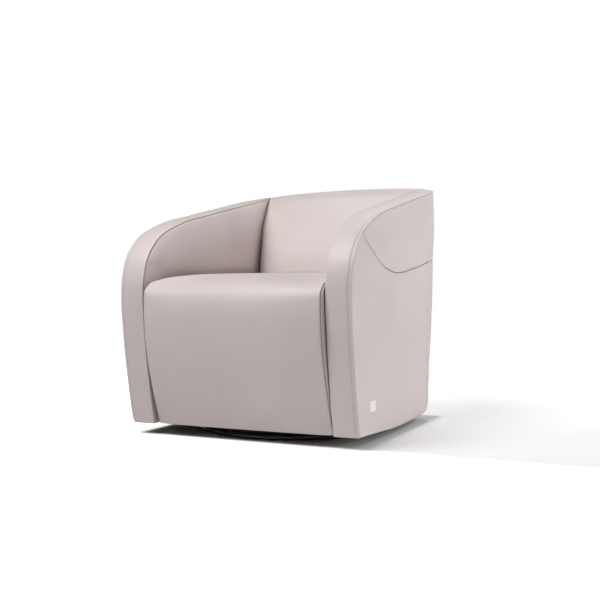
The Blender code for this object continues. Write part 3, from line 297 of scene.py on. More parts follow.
# White glow of the floor for the camera alone: the footprint where it is off, its soft border, its
# level and slope over the floor, its extra share in front, and the ring where it is full
FOOTPRINT_LOW = (-0.330, -0.305, 0.0)
FOOTPRINT_HIGH = (0.335, 0.340, 0.0)
CONTACT_FADE = 0.035
GLOW_LEVEL = 0.41
GLOW_SLOPE = (-0.55, 0.32, 0.0)
FRONT_GLOW = (-0.310, -0.350, 0.45)
FAR_GLOW = (1.1, 2.4)

# Studio light: even fill, then name, place, edge length and watts of each square lamp
WORLD_FILL = 0.03
LAMP_AIM = (0.0, 0.0, 0.4)
LAMPS = (
    ("high_front_box", (-0.6, -1.8, 2.6), 1.4, 55.5),
    ("top_box", (-0.3, -0.8, 2.4), 0.9, 16.0),
    ("rear_top_box", (0.0, 2.2, 2.9), 2.0, 15.5),
    ("right_box", (3.2, 0.6, 0.95), 1.0, 40.0),
    ("near_right_box", (1.8, 0.9, 1.5), 0.8, 15.5),
)


def to_linear(code):
    """Linear red, green and blue of an sRGB hex code."""
    channels = [int(code[place:place + 2], 16) / 255 for place in (1, 3, 5)]
    return tuple(c / 12.92 if c <= 0.04045 else ((c + 0.055) / 1.055) ** 2.4 for c in channels)


def chair_sizes():
    """The sizes that a user may change."""
    return bpy.context.scene.club_chair_sizes


def columns(*parts):
    """Rows of coordinates, from one array for each axis."""
    return np.stack(parts, axis=1)


def ramp(value, start, length):
    """Share of the way from a start over a length, kept between 0 and 1."""
    return np.clip((value - start) / length, 0, 1)


def bend(first, first_way, last_way, last, steps):
    """Points on a smooth bend to the last of two plane points, which it leaves by given ways."""
    t = (np.arange(1, steps + 1) / steps)[:, None]
    first, last = np.array(first), np.array(last)
    near = (1 - t) ** 3 * first + 3 * t * (1 - t) ** 2 * (first + first_way)
    return near + 3 * t * t * (1 - t) * (last - last_way) + t ** 3 * last


def smooth_curve(points):
    """Smooth curve through plane points."""
    knots = np.array(points, float)
    gaps = np.diff(knots, axis=0)
    lengths = np.linalg.norm(gaps, axis=1)
    units = gaps / lengths[:, None]
    middle = units[:-1] * lengths[1:, None] + units[1:] * lengths[:-1, None]
    tangents = np.vstack((units[:1], middle, units[-1:]))
    tangents /= np.linalg.norm(tangents, axis=1)[:, None]
    curve = [knots[:1]]
    for index, length in enumerate(lengths):
        ways = tangents[index:index + 2] * length / 3
        curve.append(bend(knots[index], *ways, knots[index + 1], CURVE_STEPS))
    return np.vstack(curve)


def curve_normals(points):
    """Unit vectors to the right of a curve's direction, one for each of its points."""
    direction = np.gradient(points, axis=0)
    direction /= np.linalg.norm(direction, axis=1)[:, None]
    return columns(direction[:, 1], -direction[:, 0])


def value_at(curve, position):
    """Second coordinate of a curve where its first coordinate has the given value."""
    return np.interp(position, curve[:, 0], curve[:, 1])


def ways_along(path):
    """Distance of each point of a polyline from its start."""
    lengths = np.linalg.norm(np.diff(path, axis=0), axis=1)
    return np.concatenate(([0.0], np.cumsum(lengths)))


def points_along(path, ways, places):
    """Points of a polyline at distances from its start."""
    return np.array([np.interp(places, ways, path[:, axis]) for axis in range(path.shape[1])]).T


def even_steps(points, spacing, closed=False):
    """Points at equal distances along a polyline, in any number of dimensions."""
    path = np.vstack((points, points[:1])) if closed else np.array(points, float)
    ways = ways_along(path)
    count = max(int(round(ways[-1] / spacing)), 2)
    places = np.linspace(0, ways[-1], count + 1)
    return points_along(path, ways, places[:-1] if closed else places)


def soften(points, steps):
    """A plane polyline of even steps with its bends softened over the given number of them."""
    reach = 3 * steps
    weights = np.exp(-(np.arange(-reach, reach + 1) / steps) ** 2 / 2)
    weights /= weights.sum()
    longer = np.pad(points, ((reach, reach), (0, 0)), mode="reflect", reflect_type="odd")
    return columns(*(np.convolve(longer[:, axis], weights, "valid") for axis in (0, 1)))


def side_outline(shares):
    """Side-view curve, y then z, from shares of the half depth and of the height."""
    return smooth_curve([(HALF_DEPTH * y, BODY_BOTTOM + BODY_HEIGHT * z) for y, z in shares])


def height_curve(shares):
    """Curve of y over z from shares of the height and of the half depth."""
    return smooth_curve([(BODY_BOTTOM + BODY_HEIGHT * z, HALF_DEPTH * y) for z, y in shares])


ARM_EDGE = side_outline(ARM_EDGE_SHARES)
ARM_TOP_START = ARM_EDGE[int(np.argmin(ARM_EDGE[:, 0])), 1]
SEAT_FRONT = side_outline(SEAT_FRONT_SHARES)
BACK_LEAN = height_curve(BACK_LEAN_SHARES)
CREVICE = height_curve(CREVICE_SHARES)
CUSHION_EDGE = height_curve(CUSHION_EDGE_SHARES)
YOKE_SEAM = smooth_curve(
    [(WALL_RUN * run, BODY_BOTTOM + BODY_HEIGHT * z) for run, z in YOKE_SEAM_SHARES]
)
HEM = smooth_curve([(WALL_RUN * run, BODY_BOTTOM - HEM_DROP * drop) for run, drop in HEM_SHARES])


def arm_edge(side):
    """Edge of an arm in side view. The left arm's top is worn down a little."""
    edge = ARM_EDGE.copy()
    if side < 0:
        worn = value_at(np.array(WORN_TOP), edge[:, 0])
        edge[:, 1] -= np.where(edge[:, 1] > ARM_TOP_START, worn, 0.0)
    return edge


def arm_top(side):
    """The rear run of an arm's edge, from its foremost place back to the corner."""
    edge = arm_edge(side)
    return edge[int(np.argmin(edge[:, 0])):]


def band_top(side):
    """The top of an arm's edge, carried on to where the wall turns in to the cushion."""
    edge = arm_top(side)
    return np.vstack((edge, [(BAND_END_Y, edge[-1, 1] + BAND_END_RISE)]))


def back_y(z):
    """Y of the outer back in the middle, at a height."""
    return value_at(BACK_LEAN, z)


def back_seam_y(z):
    """Y of the seam between the outer side and the outer back, at a height."""
    return np.minimum(BACK_SEAM_Y, back_y(z) - CORNER_RADIUS - BACK_SEAM_LEAD)


def rear_seam(first_z, last_z, count):
    """Points along the seam between the outer side and the outer back."""
    z = np.linspace(first_z, last_z, count)
    return columns(back_seam_y(z), z)


def side_run(y):
    """Way round the wall from the middle of the back to a place on the side."""
    return WALL_TURN + HALF_DEPTH - CORNER_RADIUS - y


def wall_x(y, z):
    """Half width of the outer wall at a place along the chair and a height."""
    beyond = np.clip(y - back_y(z) + CORNER_RADIUS, 0, CORNER_RADIUS)
    return WALL_FLAT + np.sqrt(CORNER_RADIUS ** 2 - beyond ** 2)


def wrap(run):
    """Sign and length of a way round the wall, and the angle that the wall has turned there."""
    reach = np.abs(run)
    angle = np.clip((reach - WALL_FLAT) / CORNER_RADIUS, 0, math.pi / 2)
    return np.where(run < 0, -1.0, 1.0), reach, angle


def edge_roll(distance, radius):
    """Depth of a quarter-round edge of a radius, at a distance from its end."""
    beyond = np.clip(1 - distance / radius, 0, 1)
    return radius * (1 - np.sqrt(1 - beyond ** 2))


def pucker(points, distance):
    """Small unevenness that sewing leaves in leather, strongest beside the seam."""
    axes = points.T
    wave = sum(
        np.sin(along * rate + sway * np.sin(across * sway_rate))
        for along, across, (rate, sway, sway_rate) in zip(axes, axes[::-1], PUCKER_WAVES)
    )
    return PUCKER_DEPTH / 2 * wave * np.exp(-distance / PUCKER_REACH)


def inside_loop(points, loop):
    """Which plane points lie inside a closed loop."""
    found = np.zeros(len(points), bool)
    for first, last in zip(loop, np.roll(loop, -1, axis=0)):
        crosses = (first[1] > points[:, 1]) != (last[1] > points[:, 1])
        if crosses.any():
            share = (points[:, 1] - first[1]) / (last[1] - first[1] + NOT_ZERO)
            found ^= crosses & (points[:, 0] < first[0] + (last[0] - first[0]) * share)
    return found


def loop_distance(points, loop, used=None):
    """Distance of plane points from the nearest side of a closed loop, or from its used sides."""
    nearest = np.full(len(points), np.inf)
    for index, (first, last) in enumerate(zip(loop, np.roll(loop, -1, axis=0))):
        if used is None or used[index]:
            span = last - first
            share = np.clip(((points - first) @ span) / (span @ span + NOT_ZERO), 0, 1)
            gaps = points - first - share[:, None] * span
            nearest = np.minimum(nearest, np.linalg.norm(gaps, axis=1))
    return nearest


def add_object(name, data):
    """An object in the scene for a mesh, lamp or camera."""
    item = bpy.data.objects.new(name, data)
    bpy.context.scene.collection.objects.link(item)
    return item


def add_piece(name, verts, faces, finish="leather"):
    """One closed mesh piece on the seat's body, in the finish of the given name."""
    mesh = bpy.data.meshes.new(name)
    mesh.from_pydata([tuple(vert) for vert in verts], [], faces)
    bm = bmesh.new()
    bm.from_mesh(mesh)
    bmesh.ops.recalc_face_normals(bm, faces=bm.faces)
    bm.to_mesh(mesh)
    bm.free()
    mesh.shade_smooth()
    mesh.set_sharp_from_angle(angle=math.radians(SHARP_ANGLE))
    mesh.materials.append(material_named(finish))
    piece = add_object(name, mesh)
    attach(piece, SEAT_BODY)
    return piece


def stand_in(node):
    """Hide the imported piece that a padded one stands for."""
    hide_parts(node)


def loft_faces(rows, ring, start=0):
    """Quads of a closed loft with equal rings, capped at both ends, from a first vertex."""
    faces = []
    for first in range(start, start + (rows - 1) * ring, ring):
        for index in range(ring):
            after = (index + 1) % ring
            faces.append((first + index, first + after, first + ring + after, first + ring + index))
    for first in (start, start + (rows - 1) * ring):
        faces.append(tuple(range(first, first + ring)))
    return faces


def closed_pair(faces, total, rim):
    """Faces of two equal layers of points, with the second turned over and the rim closed."""
    solid = list(faces) + [tuple(index + total for index in reversed(face)) for face in faces]
    for first, last in zip(rim, rim[1:] + rim[:1]):
        if first != last:
            solid.append((last, first, first + total, last + total))
    return solid


def skin_panel(name, outline, seam_share, height, place, spread=1.0):
    """Closed leather panel on a curved wall, rolled in along the seams of its outline.

    The outline is a closed loop in the wall's own plane, seam_share(points) is 1 on a full seam,
    less on a flat one and 0 on a cut edge, height(points) is how far the padding stands out, and
    place(points, heights) gives space. The seams' roll is as many times wider as spread says.
    """
    loop = even_steps(outline, EDGE_STEP, closed=True)
    following = np.roll(loop, -1, axis=0)
    if np.sum(loop[:, 0] * following[:, 1] - following[:, 0] * loop[:, 1]) < 0:
        loop = loop[::-1]
        following = np.roll(loop, -1, axis=0)
    along = following - np.roll(loop, 1, axis=0)
    along /= np.linalg.norm(along, axis=1)[:, None]
    inward = columns(-along[:, 1], along[:, 0])
    points = [loop]
    for distance in np.array(RING_DISTANCES) * spread:
        ring = loop + inward * distance
        clear = loop_distance(ring, loop) > RING_ROOM * distance
        points.append(ring[inside_loop(ring, loop) & clear])
    low, high = loop.min(axis=0), loop.max(axis=0)
    across = np.arange(low[0], high[0], GRID_STEP)
    grid = np.vstack([
        columns(across + GRID_STEP / 2 * (number % 2), np.full(len(across), row))
        for number, row in enumerate(np.arange(low[1], high[1], GRID_STEP))
    ])
    grid = grid[inside_loop(grid, loop)]
    grid = grid[loop_distance(grid, loop) > RING_DISTANCES[-1] * spread + GRID_STEP / 2]
    points = [Vector(point) for point in np.vstack(points + [grid])]
    count = len(loop)
    border = [(index, (index + 1) % count) for index in range(count)]
    corners, _, faces, sources = geometry.delaunay_2d_cdt(
        points, border, [list(range(count))], 1, WELD,
    )[:4]
    flat = np.array([tuple(corner) for corner in corners])
    shares = seam_share((loop + following) / 2)
    drop = np.zeros(len(flat))
    for share in sorted(set(shares[shares > 0])):
        distance = loop_distance(flat, loop, shares == share) / spread
        drop = np.maximum(drop, share * value_at(np.array(SEAM_PROFILE), distance))
    rise = height(flat) - drop + pucker(flat, loop_distance(flat, loop, shares == 1))
    verts = np.vstack((place(flat, rise), place(flat, np.full(len(flat), -SKIN_DEPTH))))
    found = {source: index for index, group in enumerate(sources) for source in group}
    rim = [found[index] for index in range(count)]
    faces = [tuple(face) for face in faces]
    return add_piece(name, verts, closed_pair(faces, len(flat), rim))


# Millimetres in a metre, and bands of a wave texture to a metre at scale 1
MM = 1000.0
WAVE_BANDS = 20.0


def add_node(tree, kind, settings=None, links=None):
    """Add a shader node, set its properties and sockets, and link its inputs."""
    node = tree.nodes.new("ShaderNode" + kind)
    for name, value in (settings or {}).items():
        if isinstance(name, int) or name in node.inputs:
            node.inputs[name].default_value = value
        else:
            setattr(node, name, value)
    for name, source in (links or {}).items():
        tree.links.new(source, node.inputs[name])
    return node


class Finish:
    """A Principled material, and the nodes that drive it over the piece's own coordinates."""

    def __init__(self, name, colour, roughness, metallic=0.0):
        self.material = bpy.data.materials.new(name)
        self.material.use_nodes = True
        self.material.diffuse_color = (*colour, 1.0)
        self.colour = colour
        self.tree = self.material.node_tree
        self.shader = self.tree.nodes["Principled BSDF"]
        self.set({"Base Color": (*colour, 1.0), "Roughness": roughness, "Metallic": metallic})
        self.place = self.node("TexCoord").outputs["Object"]

    def set(self, values):
        """Give sockets of the shader one value all over."""
        for name, value in values.items():
            self.shader.inputs[name].default_value = value

    def drive(self, sources):
        """Let outputs of nodes drive sockets of the shader, and hand over the material."""
        for name, source in sources.items():
            self.tree.links.new(source, self.shader.inputs[name])
        return self.material

    def node(self, kind, settings=None, links=None):
        """Add a node to this material."""
        return add_node(self.tree, kind, settings, links)

    def texture(self, kind, output="Fac", **settings):
        """Value of a texture node in metres of the piece."""
        return self.node(kind, settings, {"Vector": self.place}).outputs[output]

    def noise(self, scale, detail, roughness=0.5):
        """Value of a noise texture."""
        return self.texture("TexNoise", Scale=scale, Detail=detail, Roughness=roughness)

    def tint(self, source, low, high, start=0.3, end=0.7):
        """The colour, from a darker to a lighter share of it over a texture's value."""
        ramp_node = self.node("ValToRGB", links={"Fac": source})
        for element, place, share in zip(ramp_node.color_ramp.elements, (start, end), (low, high)):
            element.position = place
            element.color = (*(min(channel * share, 1.0) for channel in self.colour), 1.0)
        return ramp_node.outputs["Color"]

    def between(self, source, low, high, start=0.0, end=1.0, **settings):
        """A value that runs from low to high while its source runs from start to end."""
        limits = {"From Min": start, "From Max": end, "To Min": low, "To Max": high}
        return self.node("MapRange", {**limits, **settings}, {"Value": source}).outputs["Result"]

    def bump(self, height, strength, distance, under=None):
        """Normals of a relief of the given depth, over another one."""
        links = {"Height": height, **({"Normal": under} if under else {})}
        node = self.node("Bump", {"Strength": strength, "Distance": distance}, links)
        return node.outputs["Normal"]

    def combine(self, kind, operation, *terms, output=0):
        """Output of a Math or VectorMath node over numbers, vectors and other outputs."""
        node = self.node(kind, {"operation": operation})
        for term, socket in zip(terms, node.inputs):
            if isinstance(term, bpy.types.NodeSocket):
                self.tree.links.new(term, socket)
            else:
                socket.default_value = term
        return node.outputs[output]


def smooth_leather(colour):
    """Corrected, lightly pigmented hide: fine pebble grain, soft sheen, faint cloudy colour, and
    shade painted into its seams.
    """
    look = Finish("smooth_leather", colour, 0.46)
    cloud = look.noise(scale=7.0, detail=3.0)
    # Painted shade: the hide's colour is darkened where it is shut in within 6 mm, in its seams and
    # crevices where shade falls
    seam_occlusion = look.node("AmbientOcclusion", {"Distance": 0.006, "samples": 6}).outputs["AO"]
    painted_seam_shade = look.between(seam_occlusion, low=0.30, high=1.0, start=0.10, end=0.80)
    cloudy = look.tint(cloud, low=0.965, high=1.025)
    colour_with_painted_shade = look.node("VectorMath", {"operation": "SCALE"}, {0: cloudy, "Scale": painted_seam_shade})
    # Pebble grain about 1.6 mm across, drawn a little coarser than the real 1 mm so that it shows
    grain = look.texture("TexVoronoi", "Distance", Scale=620.0, feature="SMOOTH_F1")
    slack = look.bump(
        look.noise(scale=16.0, detail=2.0, roughness=0.4), strength=0.30, distance=0.0016,
    )
    pebble = look.bump(grain, strength=0.16, distance=0.00025, under=slack)
    pores = look.noise(scale=1500.0, detail=1.0)
    skin = look.bump(pores, strength=0.08, distance=0.0001, under=pebble)
    look.set({"IOR": 1.5, "Sheen Weight": 0.08, "Sheen Roughness": 0.5})
    wear = look.between(cloud, low=0.42, high=0.52, start=0.3, end=0.7)
    # The base colour carries the cloudy tone and the painted seam shade
    return look.drive({"Base Color": colour_with_painted_shade.outputs["Vector"], "Normal": skin, "Roughness": wear})


def bonded_thread(colour):
    """Bonded polyester sewing thread: a matt twist, a little darker than the hide."""
    look = Finish("bonded_thread", colour, 0.75)
    twist = look.texture("TexWave", Scale=700.0, bands_direction="DIAGONAL")
    return look.drive({"Base Color": look.tint(twist, low=0.85, high=1.05, start=0.0, end=1.0)})


def gloss_lacquer(colour):
    """Sprayed black lacquer on board: a deep clear gloss with a faint orange peel."""
    look = Finish("gloss_lacquer", colour, 0.16)
    peel = look.bump(look.noise(scale=240.0, detail=1.0), strength=0.05, distance=0.0004)
    haze = look.between(look.noise(scale=30.0, detail=4.0), low=0.12, high=0.22)
    look.set({"Coat Weight": 0.6, "Coat Roughness": 0.08})
    return look.drive({"Normal": peel, "Roughness": haze})


def fibre_cloth(name, colour, thread_mm, depth_mm, roughness):
    """Pressed or woven fibre: thread-wide mottling in colour and height, and no gloss."""
    look = Finish(name, colour, roughness)
    fibre = look.noise(scale=MM / thread_mm, detail=2.0)
    relief = look.bump(fibre, strength=0.6, distance=depth_mm / MM)
    look.set({"Sheen Weight": 0.3})
    return look.drive({"Base Color": look.tint(fibre, low=0.75, high=1.25), "Normal": relief})


def wave_scale(spacing_mm):
    """Scale that gives a wave texture's bands their real spacing."""
    return MM / spacing_mm / WAVE_BANDS


def woven_tape(name, colour, thread_mm):
    """Plain weave: raised bands of warp and weft at the thread's real spacing."""
    look = Finish(name, colour, 0.85)
    warp, weft = (
        look.texture("TexWave", Scale=wave_scale(thread_mm), bands_direction=axis) for axis in "YZ"
    )
    weave = look.combine("Math", "MULTIPLY", warp, weft)
    tint = look.tint(weave, low=0.9, high=1.02, start=0.0, end=1.0)
    relief = look.bump(weave, strength=0.5, distance=0.0003)
    return look.drive({"Base Color": tint, "Normal": relief})


def zinc_plate(colour):
    """Bright zinc-plated steel: a fine brushed sheen with small patches of duller plating."""
    look = Finish("zinc_plate", colour, 0.32, metallic=1.0)
    patch = look.noise(scale=90.0, detail=4.0)
    dull = look.between(patch, low=0.24, high=0.42)
    return look.drive({"Roughness": dull, "Base Color": look.tint(patch, low=0.88, high=1.05)})


def planed_wood(name, colour, ring_mm, direction):
    """Planed timber: growth rings that wander along the board, and short dark pores."""
    look = Finish(name, colour, 0.62)
    rings = look.texture(
        "TexWave", Scale=wave_scale(ring_mm), Distortion=3.0, Detail=3.0, bands_direction=direction,
    )
    tint = look.tint(rings, low=0.80, high=1.08, start=0.1, end=0.9)
    pores = look.bump(look.noise(scale=900.0, detail=2.0), strength=0.3, distance=0.0003)
    return look.drive({"Base Color": tint, "Normal": pores})


MATERIALS = {}


def material_named(name):
    """The chair's material of that name, made on first use."""
    colours = bpy.context.scene.club_chair_colours
    makers = {
        "leather": lambda: smooth_leather(tuple(colours.leather)),
        "thread": lambda: bonded_thread(tuple(colours.thread)),
        "disc_lacquer": lambda: gloss_lacquer(tuple(colours.disc)),
        "felt": lambda: fibre_cloth("pressed_felt", to_linear("#2A2A2B"), 0.8, 0.5, 0.95),
        "steel": lambda: zinc_plate(to_linear("#C4C5C6")),
        "beech": lambda: planed_wood("planed_beech", to_linear("#CDA57A"), 3.0, "X"),
        "plywood": lambda: planed_wood("sanded_plywood", to_linear("#D3B689"), 1.5, "Z"),
        "webbing": lambda: woven_tape("elastic_webbing", to_linear("#544A44"), 1.5),
        "dust_cloth": lambda: fibre_cloth("spun_dust_cloth", to_linear("#262627"), 0.5, 0.1, 0.92),
        "tag_cloth": lambda: woven_tape("cotton_tape", tuple(colours.tag), 0.8),
    }
    if name not in MATERIALS:
        MATERIALS[name] = makers[name]()
    return MATERIALS[name]


def hem_roll(run, height_above):
    """How far the wall is drawn in at a height above its lower edge, at a signed way round it."""
    stations, right, left = HEM_ROLLS
    height = np.where(run >= 0, np.interp(run, stations, right), np.interp(-run, stations, left))
    return edge_roll(height_above, height) * np.minimum(HEM_DEPTH / height, 1)


def wall_roll(run, z):
    """How far the wall is drawn in near its lower edge, at a height."""
    return hem_roll(run, z - value_at(HEM, np.abs(run)))


def side_wall(side):
    """Map from y, z and height on one outer side to space."""
    def place(points, heights):
        y, z = points.T
        return columns(side * (HALF_WIDTH + heights - wall_roll(side * side_run(y), z)), y, z)
    return place


def back_wall(points, heights):
    """Map from way round the wall, z and height on the outer back to space."""
    run, z = points.T
    sign, reach, angle = wrap(run)
    lean = back_y(z) - CORNER_RADIUS
    out = heights - wall_roll(run, z)
    x = np.minimum(reach, WALL_FLAT) + (CORNER_RADIUS + out) * np.sin(angle)
    y = lean + (CORNER_RADIUS + out) * np.cos(angle)
    beyond = ramp(reach, WALL_TURN, SEAM_RUN - WALL_TURN)
    y = np.where(reach > WALL_TURN, lean + (back_seam_y(z) - lean) * beyond, y)
    return columns(sign * x, y, z)


def outer_panel(piece, node, outline, seam_share, place, spread=1.0):
    """Outer skin whose padding grows away from its full seams."""
    full = seam_share((outline + np.roll(outline, -1, axis=0)) / 2) == 1
    depth = chair_sizes().padding

    def height(points):
        return depth * (1 - np.exp(-loop_distance(points, outline, full) / PADDING_REACH))

    panel = skin_panel(piece, outline, seam_share, height, place, spread)
    stand_in(node)


def sewn_share(rear, run, z):
    """Share of a full seam on an outer panel's border: flat at the rear, none at the hem."""
    share = np.where(rear, REAR_SEAM_SHARE, 1.0)
    return np.where(z > value_at(HEM, run) + HEM_MARGIN, share, 0.0)


def side_panels(side, suffix):
    """Outer side below the yoke seam, and the yoke's side above it."""
    edge = arm_edge(side)
    tip = next(point for point in edge if point[1] >= value_at(YOKE_SEAM, side_run(point[0])))
    ys = np.linspace(tip[0], back_seam_y(SEAT_CROWN_TOP), SEAM_POINTS)
    seam = columns(ys, value_at(YOKE_SEAM, side_run(ys)))
    seam[0] = tip
    front = edge[edge[:, 1] < tip[1]]
    low_z = value_at(HEM, side_run(back_seam_y(BODY_BOTTOM)))
    rear = rear_seam(seam[-1, 1], low_z, REAR_POINTS)
    hem_y = np.linspace(rear[-1, 0], front[0, 0], HEM_POINTS)
    hem = columns(hem_y, value_at(HEM, side_run(hem_y)))

    def seam_share(points):
        y, z = points.T
        return sewn_share(y > back_seam_y(z) - SEAM_MARGIN, side_run(y), z)

    lower = np.vstack((front, seam, rear[1:], hem[1:-1]))
    place = side_wall(side)
    name = "outer_side_leather_" + suffix
    outer_panel(name, "outer_side_" + suffix, lower, seam_share, place, YOKE_SPREAD)
    top = arm_top(side)
    rear = rear_seam(seam[-1, 1], value_at(top, BACK_SEAM_Y), YOKE_REAR_POINTS)
    top = top[(top[:, 0] < BACK_SEAM_Y) & (top[:, 1] > tip[1])]
    upper = np.vstack((seam, rear[1:], top[::-1]))
    name = "yoke_leather_" + suffix
    outer_panel(name, "yoke_" + suffix, upper, seam_share, place, YOKE_SPREAD)


def cushion_top_z(x):
    """Height of the back's top, which falls from the middle to the arms, more to the left."""
    share = x / ARM_INNER_X
    return BODY_TOP - TOP_DROP - TOP_FALL * share ** 2 + TOP_TILT * share


def cushion_seam_z(x):
    """Height of the seam that joins the back cushion to the outer back."""
    share = np.abs(x) / ARM_INNER_X
    right, left = (
        cushion_top_z(side * ARM_INNER_X) - arm_edge(side)[-1, 1] - BAND_END_RISE
        for side, _ in SIDES
    )
    return cushion_top_z(x) - (SEAM_DROP + (np.where(x < 0, left, right) - SEAM_DROP) * share)


def shell_top_z(run):
    """Height where the outer back ends, under the cushion's roll or under the arm's band."""
    sign, reach, angle = wrap(run)
    x = np.minimum(reach, WALL_FLAT) + CORNER_RADIUS * np.sin(angle)
    y = back_y(BODY_TOP) - CORNER_RADIUS + CORNER_RADIUS * np.cos(angle)
    y = np.where(reach > WALL_TURN, BACK_SEAM_Y + SEAM_RUN - reach, y)
    under_band = np.where(run < 0, value_at(band_top(-1), y), value_at(band_top(1), y))
    under_cushion = cushion_seam_z(sign * np.minimum(x, ARM_INNER_X))
    return np.where(x <= ARM_INNER_X, under_cushion, under_band)


def back_panels():
    """Outer back and the yoke above it, each wrapped round both corners."""
    runs = np.linspace(-SEAM_RUN, SEAM_RUN, BACK_POINTS)
    hem = columns(runs, value_at(HEM, np.abs(runs)))
    seam = columns(runs, value_at(YOKE_SEAM, np.abs(runs)))
    top = columns(runs, shell_top_z(runs))

    def seam_share(points):
        reach, z = np.abs(points[:, 0]), points[:, 1]
        return sewn_share(reach > SEAM_RUN - SEAM_MARGIN, reach, z)

    lower, upper = np.vstack((hem, seam[::-1])), np.vstack((seam, top[::-1]))
    outer_panel("outer_back_leather", "outer_back", lower, seam_share, back_wall)
    outer_panel("yoke_leather_back", "yoke_back", upper, seam_share, back_wall)


def inner_arm_panel(side, suffix):
    """Padded inner side of an arm, full in the middle and rolled into the band's seam."""
    depth = chair_sizes().arm_padding
    top = arm_top(side)
    rear_z = np.linspace(value_at(top, INNER_REAR_Y), BODY_BOTTOM, REAR_POINTS)
    lean = np.clip(back_y(rear_z) - back_y(BODY_TOP), -1, 0)
    rear = columns(INNER_REAR_Y + lean, rear_z)
    edge = arm_edge(side)
    edge = edge[edge[:, 0] < INNER_REAR_Y]
    edge_loop = np.vstack((edge, edge[::-1]))
    bottom_y = np.linspace(rear[-1, 0], edge[0, 0], HEM_POINTS)
    bottom = columns(bottom_y, np.full(HEM_POINTS, BODY_BOTTOM))
    outline = np.vstack((edge, rear, bottom[1:-1]))

    def seam_share(points):
        y, z = points.T
        at_top = (y < INNER_REAR_Y - INNER_END) & (z > value_at(top, y) - INNER_TOP)
        sewn = (y < INNER_REAR_Y - INNER_OPEN) | at_top
        return np.where((z > BODY_BOTTOM + HEM_MARGIN) & sewn, 1.0, 0.0)

    def height(points):
        y, z = points.T
        full = ramp(value_at(CUSHION_EDGE, z) - y, *CUSHION_FADE)
        low = ramp(z - SEAT_CROWN_TOP, *SEAT_FADE)
        front = ramp(FRONT_ROLL_Y - y, 0, FRONT_ROLL_LENGTH) * ramp(z, *FRONT_ROLL_RISE)
        front = front * (side < 0)
        low = np.maximum(np.sin(low * math.pi / 2), FRONT_ROLL * front)
        swell = np.sin(full * math.pi / 2) * low
        swell = swell * (1 - np.exp(-loop_distance(points, edge_loop) / BAND_FADE))
        pinch = np.clip((SEAT_CROWN_TOP + PINCH_RISE - z) / PINCH_RISE, 0, 1) * (1 - front)
        return depth * swell - SEAT_PINCH * pinch

    def place(points, heights):
        return columns(side * (ARM_INNER_X - heights), *points.T)

    name = "arm_inner_leather_" + suffix
    panel = skin_panel(name, outline, seam_share, height, place, INNER_SPREAD)
    stand_in("arm_inner_" + suffix)


def band_section(width, fullness, lift):
    """Distances across the band and heights above the arm's edge, from inner to outer seam."""
    sizes = chair_sizes()
    fullness = fullness * min(width / FLAT_WIDTH, 1.0)
    narrow = min(width / TIGHT_WIDTH, 1.0)
    inner = [
        (inset * narrow, rise * (fullness if rise > 0 else narrow)) for inset, rise in BAND_EDGE
    ]
    start, lip = inner[-1]
    stitch = width - min(sizes.stitch_inset, STITCH_SHARE * width)
    reach = FURROW_REACH * narrow
    places = [start + (stitch - reach - start) * share for share in CROWN_SHARES]
    places += [stitch + reach * share for share in FURROW_SHARES]
    places += [stitch + reach + (width - start - stitch - reach) * share for share in BESIDE_SHARES]
    section = list(inner)
    for place in places:
        share = (place - start) / (width - 2 * start)
        rise = lip + sizes.band_crown * fullness * (1 - (2 * share - 1) ** 2)
        beside = abs(place - stitch) / reach
        rise -= FURROW_DEPTH * fullness * max(1 - beside * beside, 0)
        section.append((place, rise))
    section += [(width - inset, rise) for inset, rise in inner[::-1]]
    return [(place, rise + lift * (1 - place / width) * (rise > 0)) for place, rise in section]


def band_stations(side):
    """Points along an arm's edge, their inward normals, and the band's width, fullness and lift."""
    path = np.vstack((arm_edge(side), band_top(side)[-1:]))
    turn = int(np.flatnonzero(path[:, 0] < BAND_END_Y - BAND_END_WAY)[-1])
    end = even_steps(path[turn:], BAND_END_STEP)
    edge = np.vstack((even_steps(path[:turn + 1], BAND_STEP), end[1:]))
    y, z = edge.T
    normals = curve_normals(edge)
    widths = wall_x(y, z) - ARM_INNER_X
    fullness = np.ones(len(edge))
    if side < 0:
        fullness -= (1 - WORN_CROWN) * np.clip(-normals[:, 1], 0, 1) ** WORN_POWER
    crown = (BAND_EDGE[-1][1] + chair_sizes().band_crown) * fullness
    near = ramp(y, *BAND_LIFT)
    top = cushion_top_z(side * ARM_INNER_X) - BAND_LIFT_GAP
    lift = (top - z - crown) * near ** 2 * (3 - 2 * near)
    kept = widths > LEAST_WIDTH
    widths = widths - hem_roll(np.array(side * side_run(ARM_EDGE[0, 0])), z - BODY_BOTTOM)
    return [values[kept] for values in (edge, normals, widths, fullness, lift)]


def band_rings(side):
    """Width, outward direction and ring of points at each station along an arm's band."""
    for (y, z), normal, width, full, lift in zip(*band_stations(side)):
        ring = [
            (side * (ARM_INNER_X + distance), y - normal[0] * rise,
             max(z - normal[1] * rise, BODY_BOTTOM))
            for distance, rise in band_section(width, full, lift)
        ]
        yield width, (0.0, -normal[0], -normal[1]), ring


def arm_band(side, suffix):
    """Crowned band round the arm's edge, sewn to both faces of the arm."""
    rings = [ring for _, _, ring in band_rings(side)]
    faces = loft_faces(len(rings), len(rings[0]))
    band = add_piece("arm_band_leather_" + suffix, sum(rings, []), faces)
    stand_in("arm_band_" + suffix)


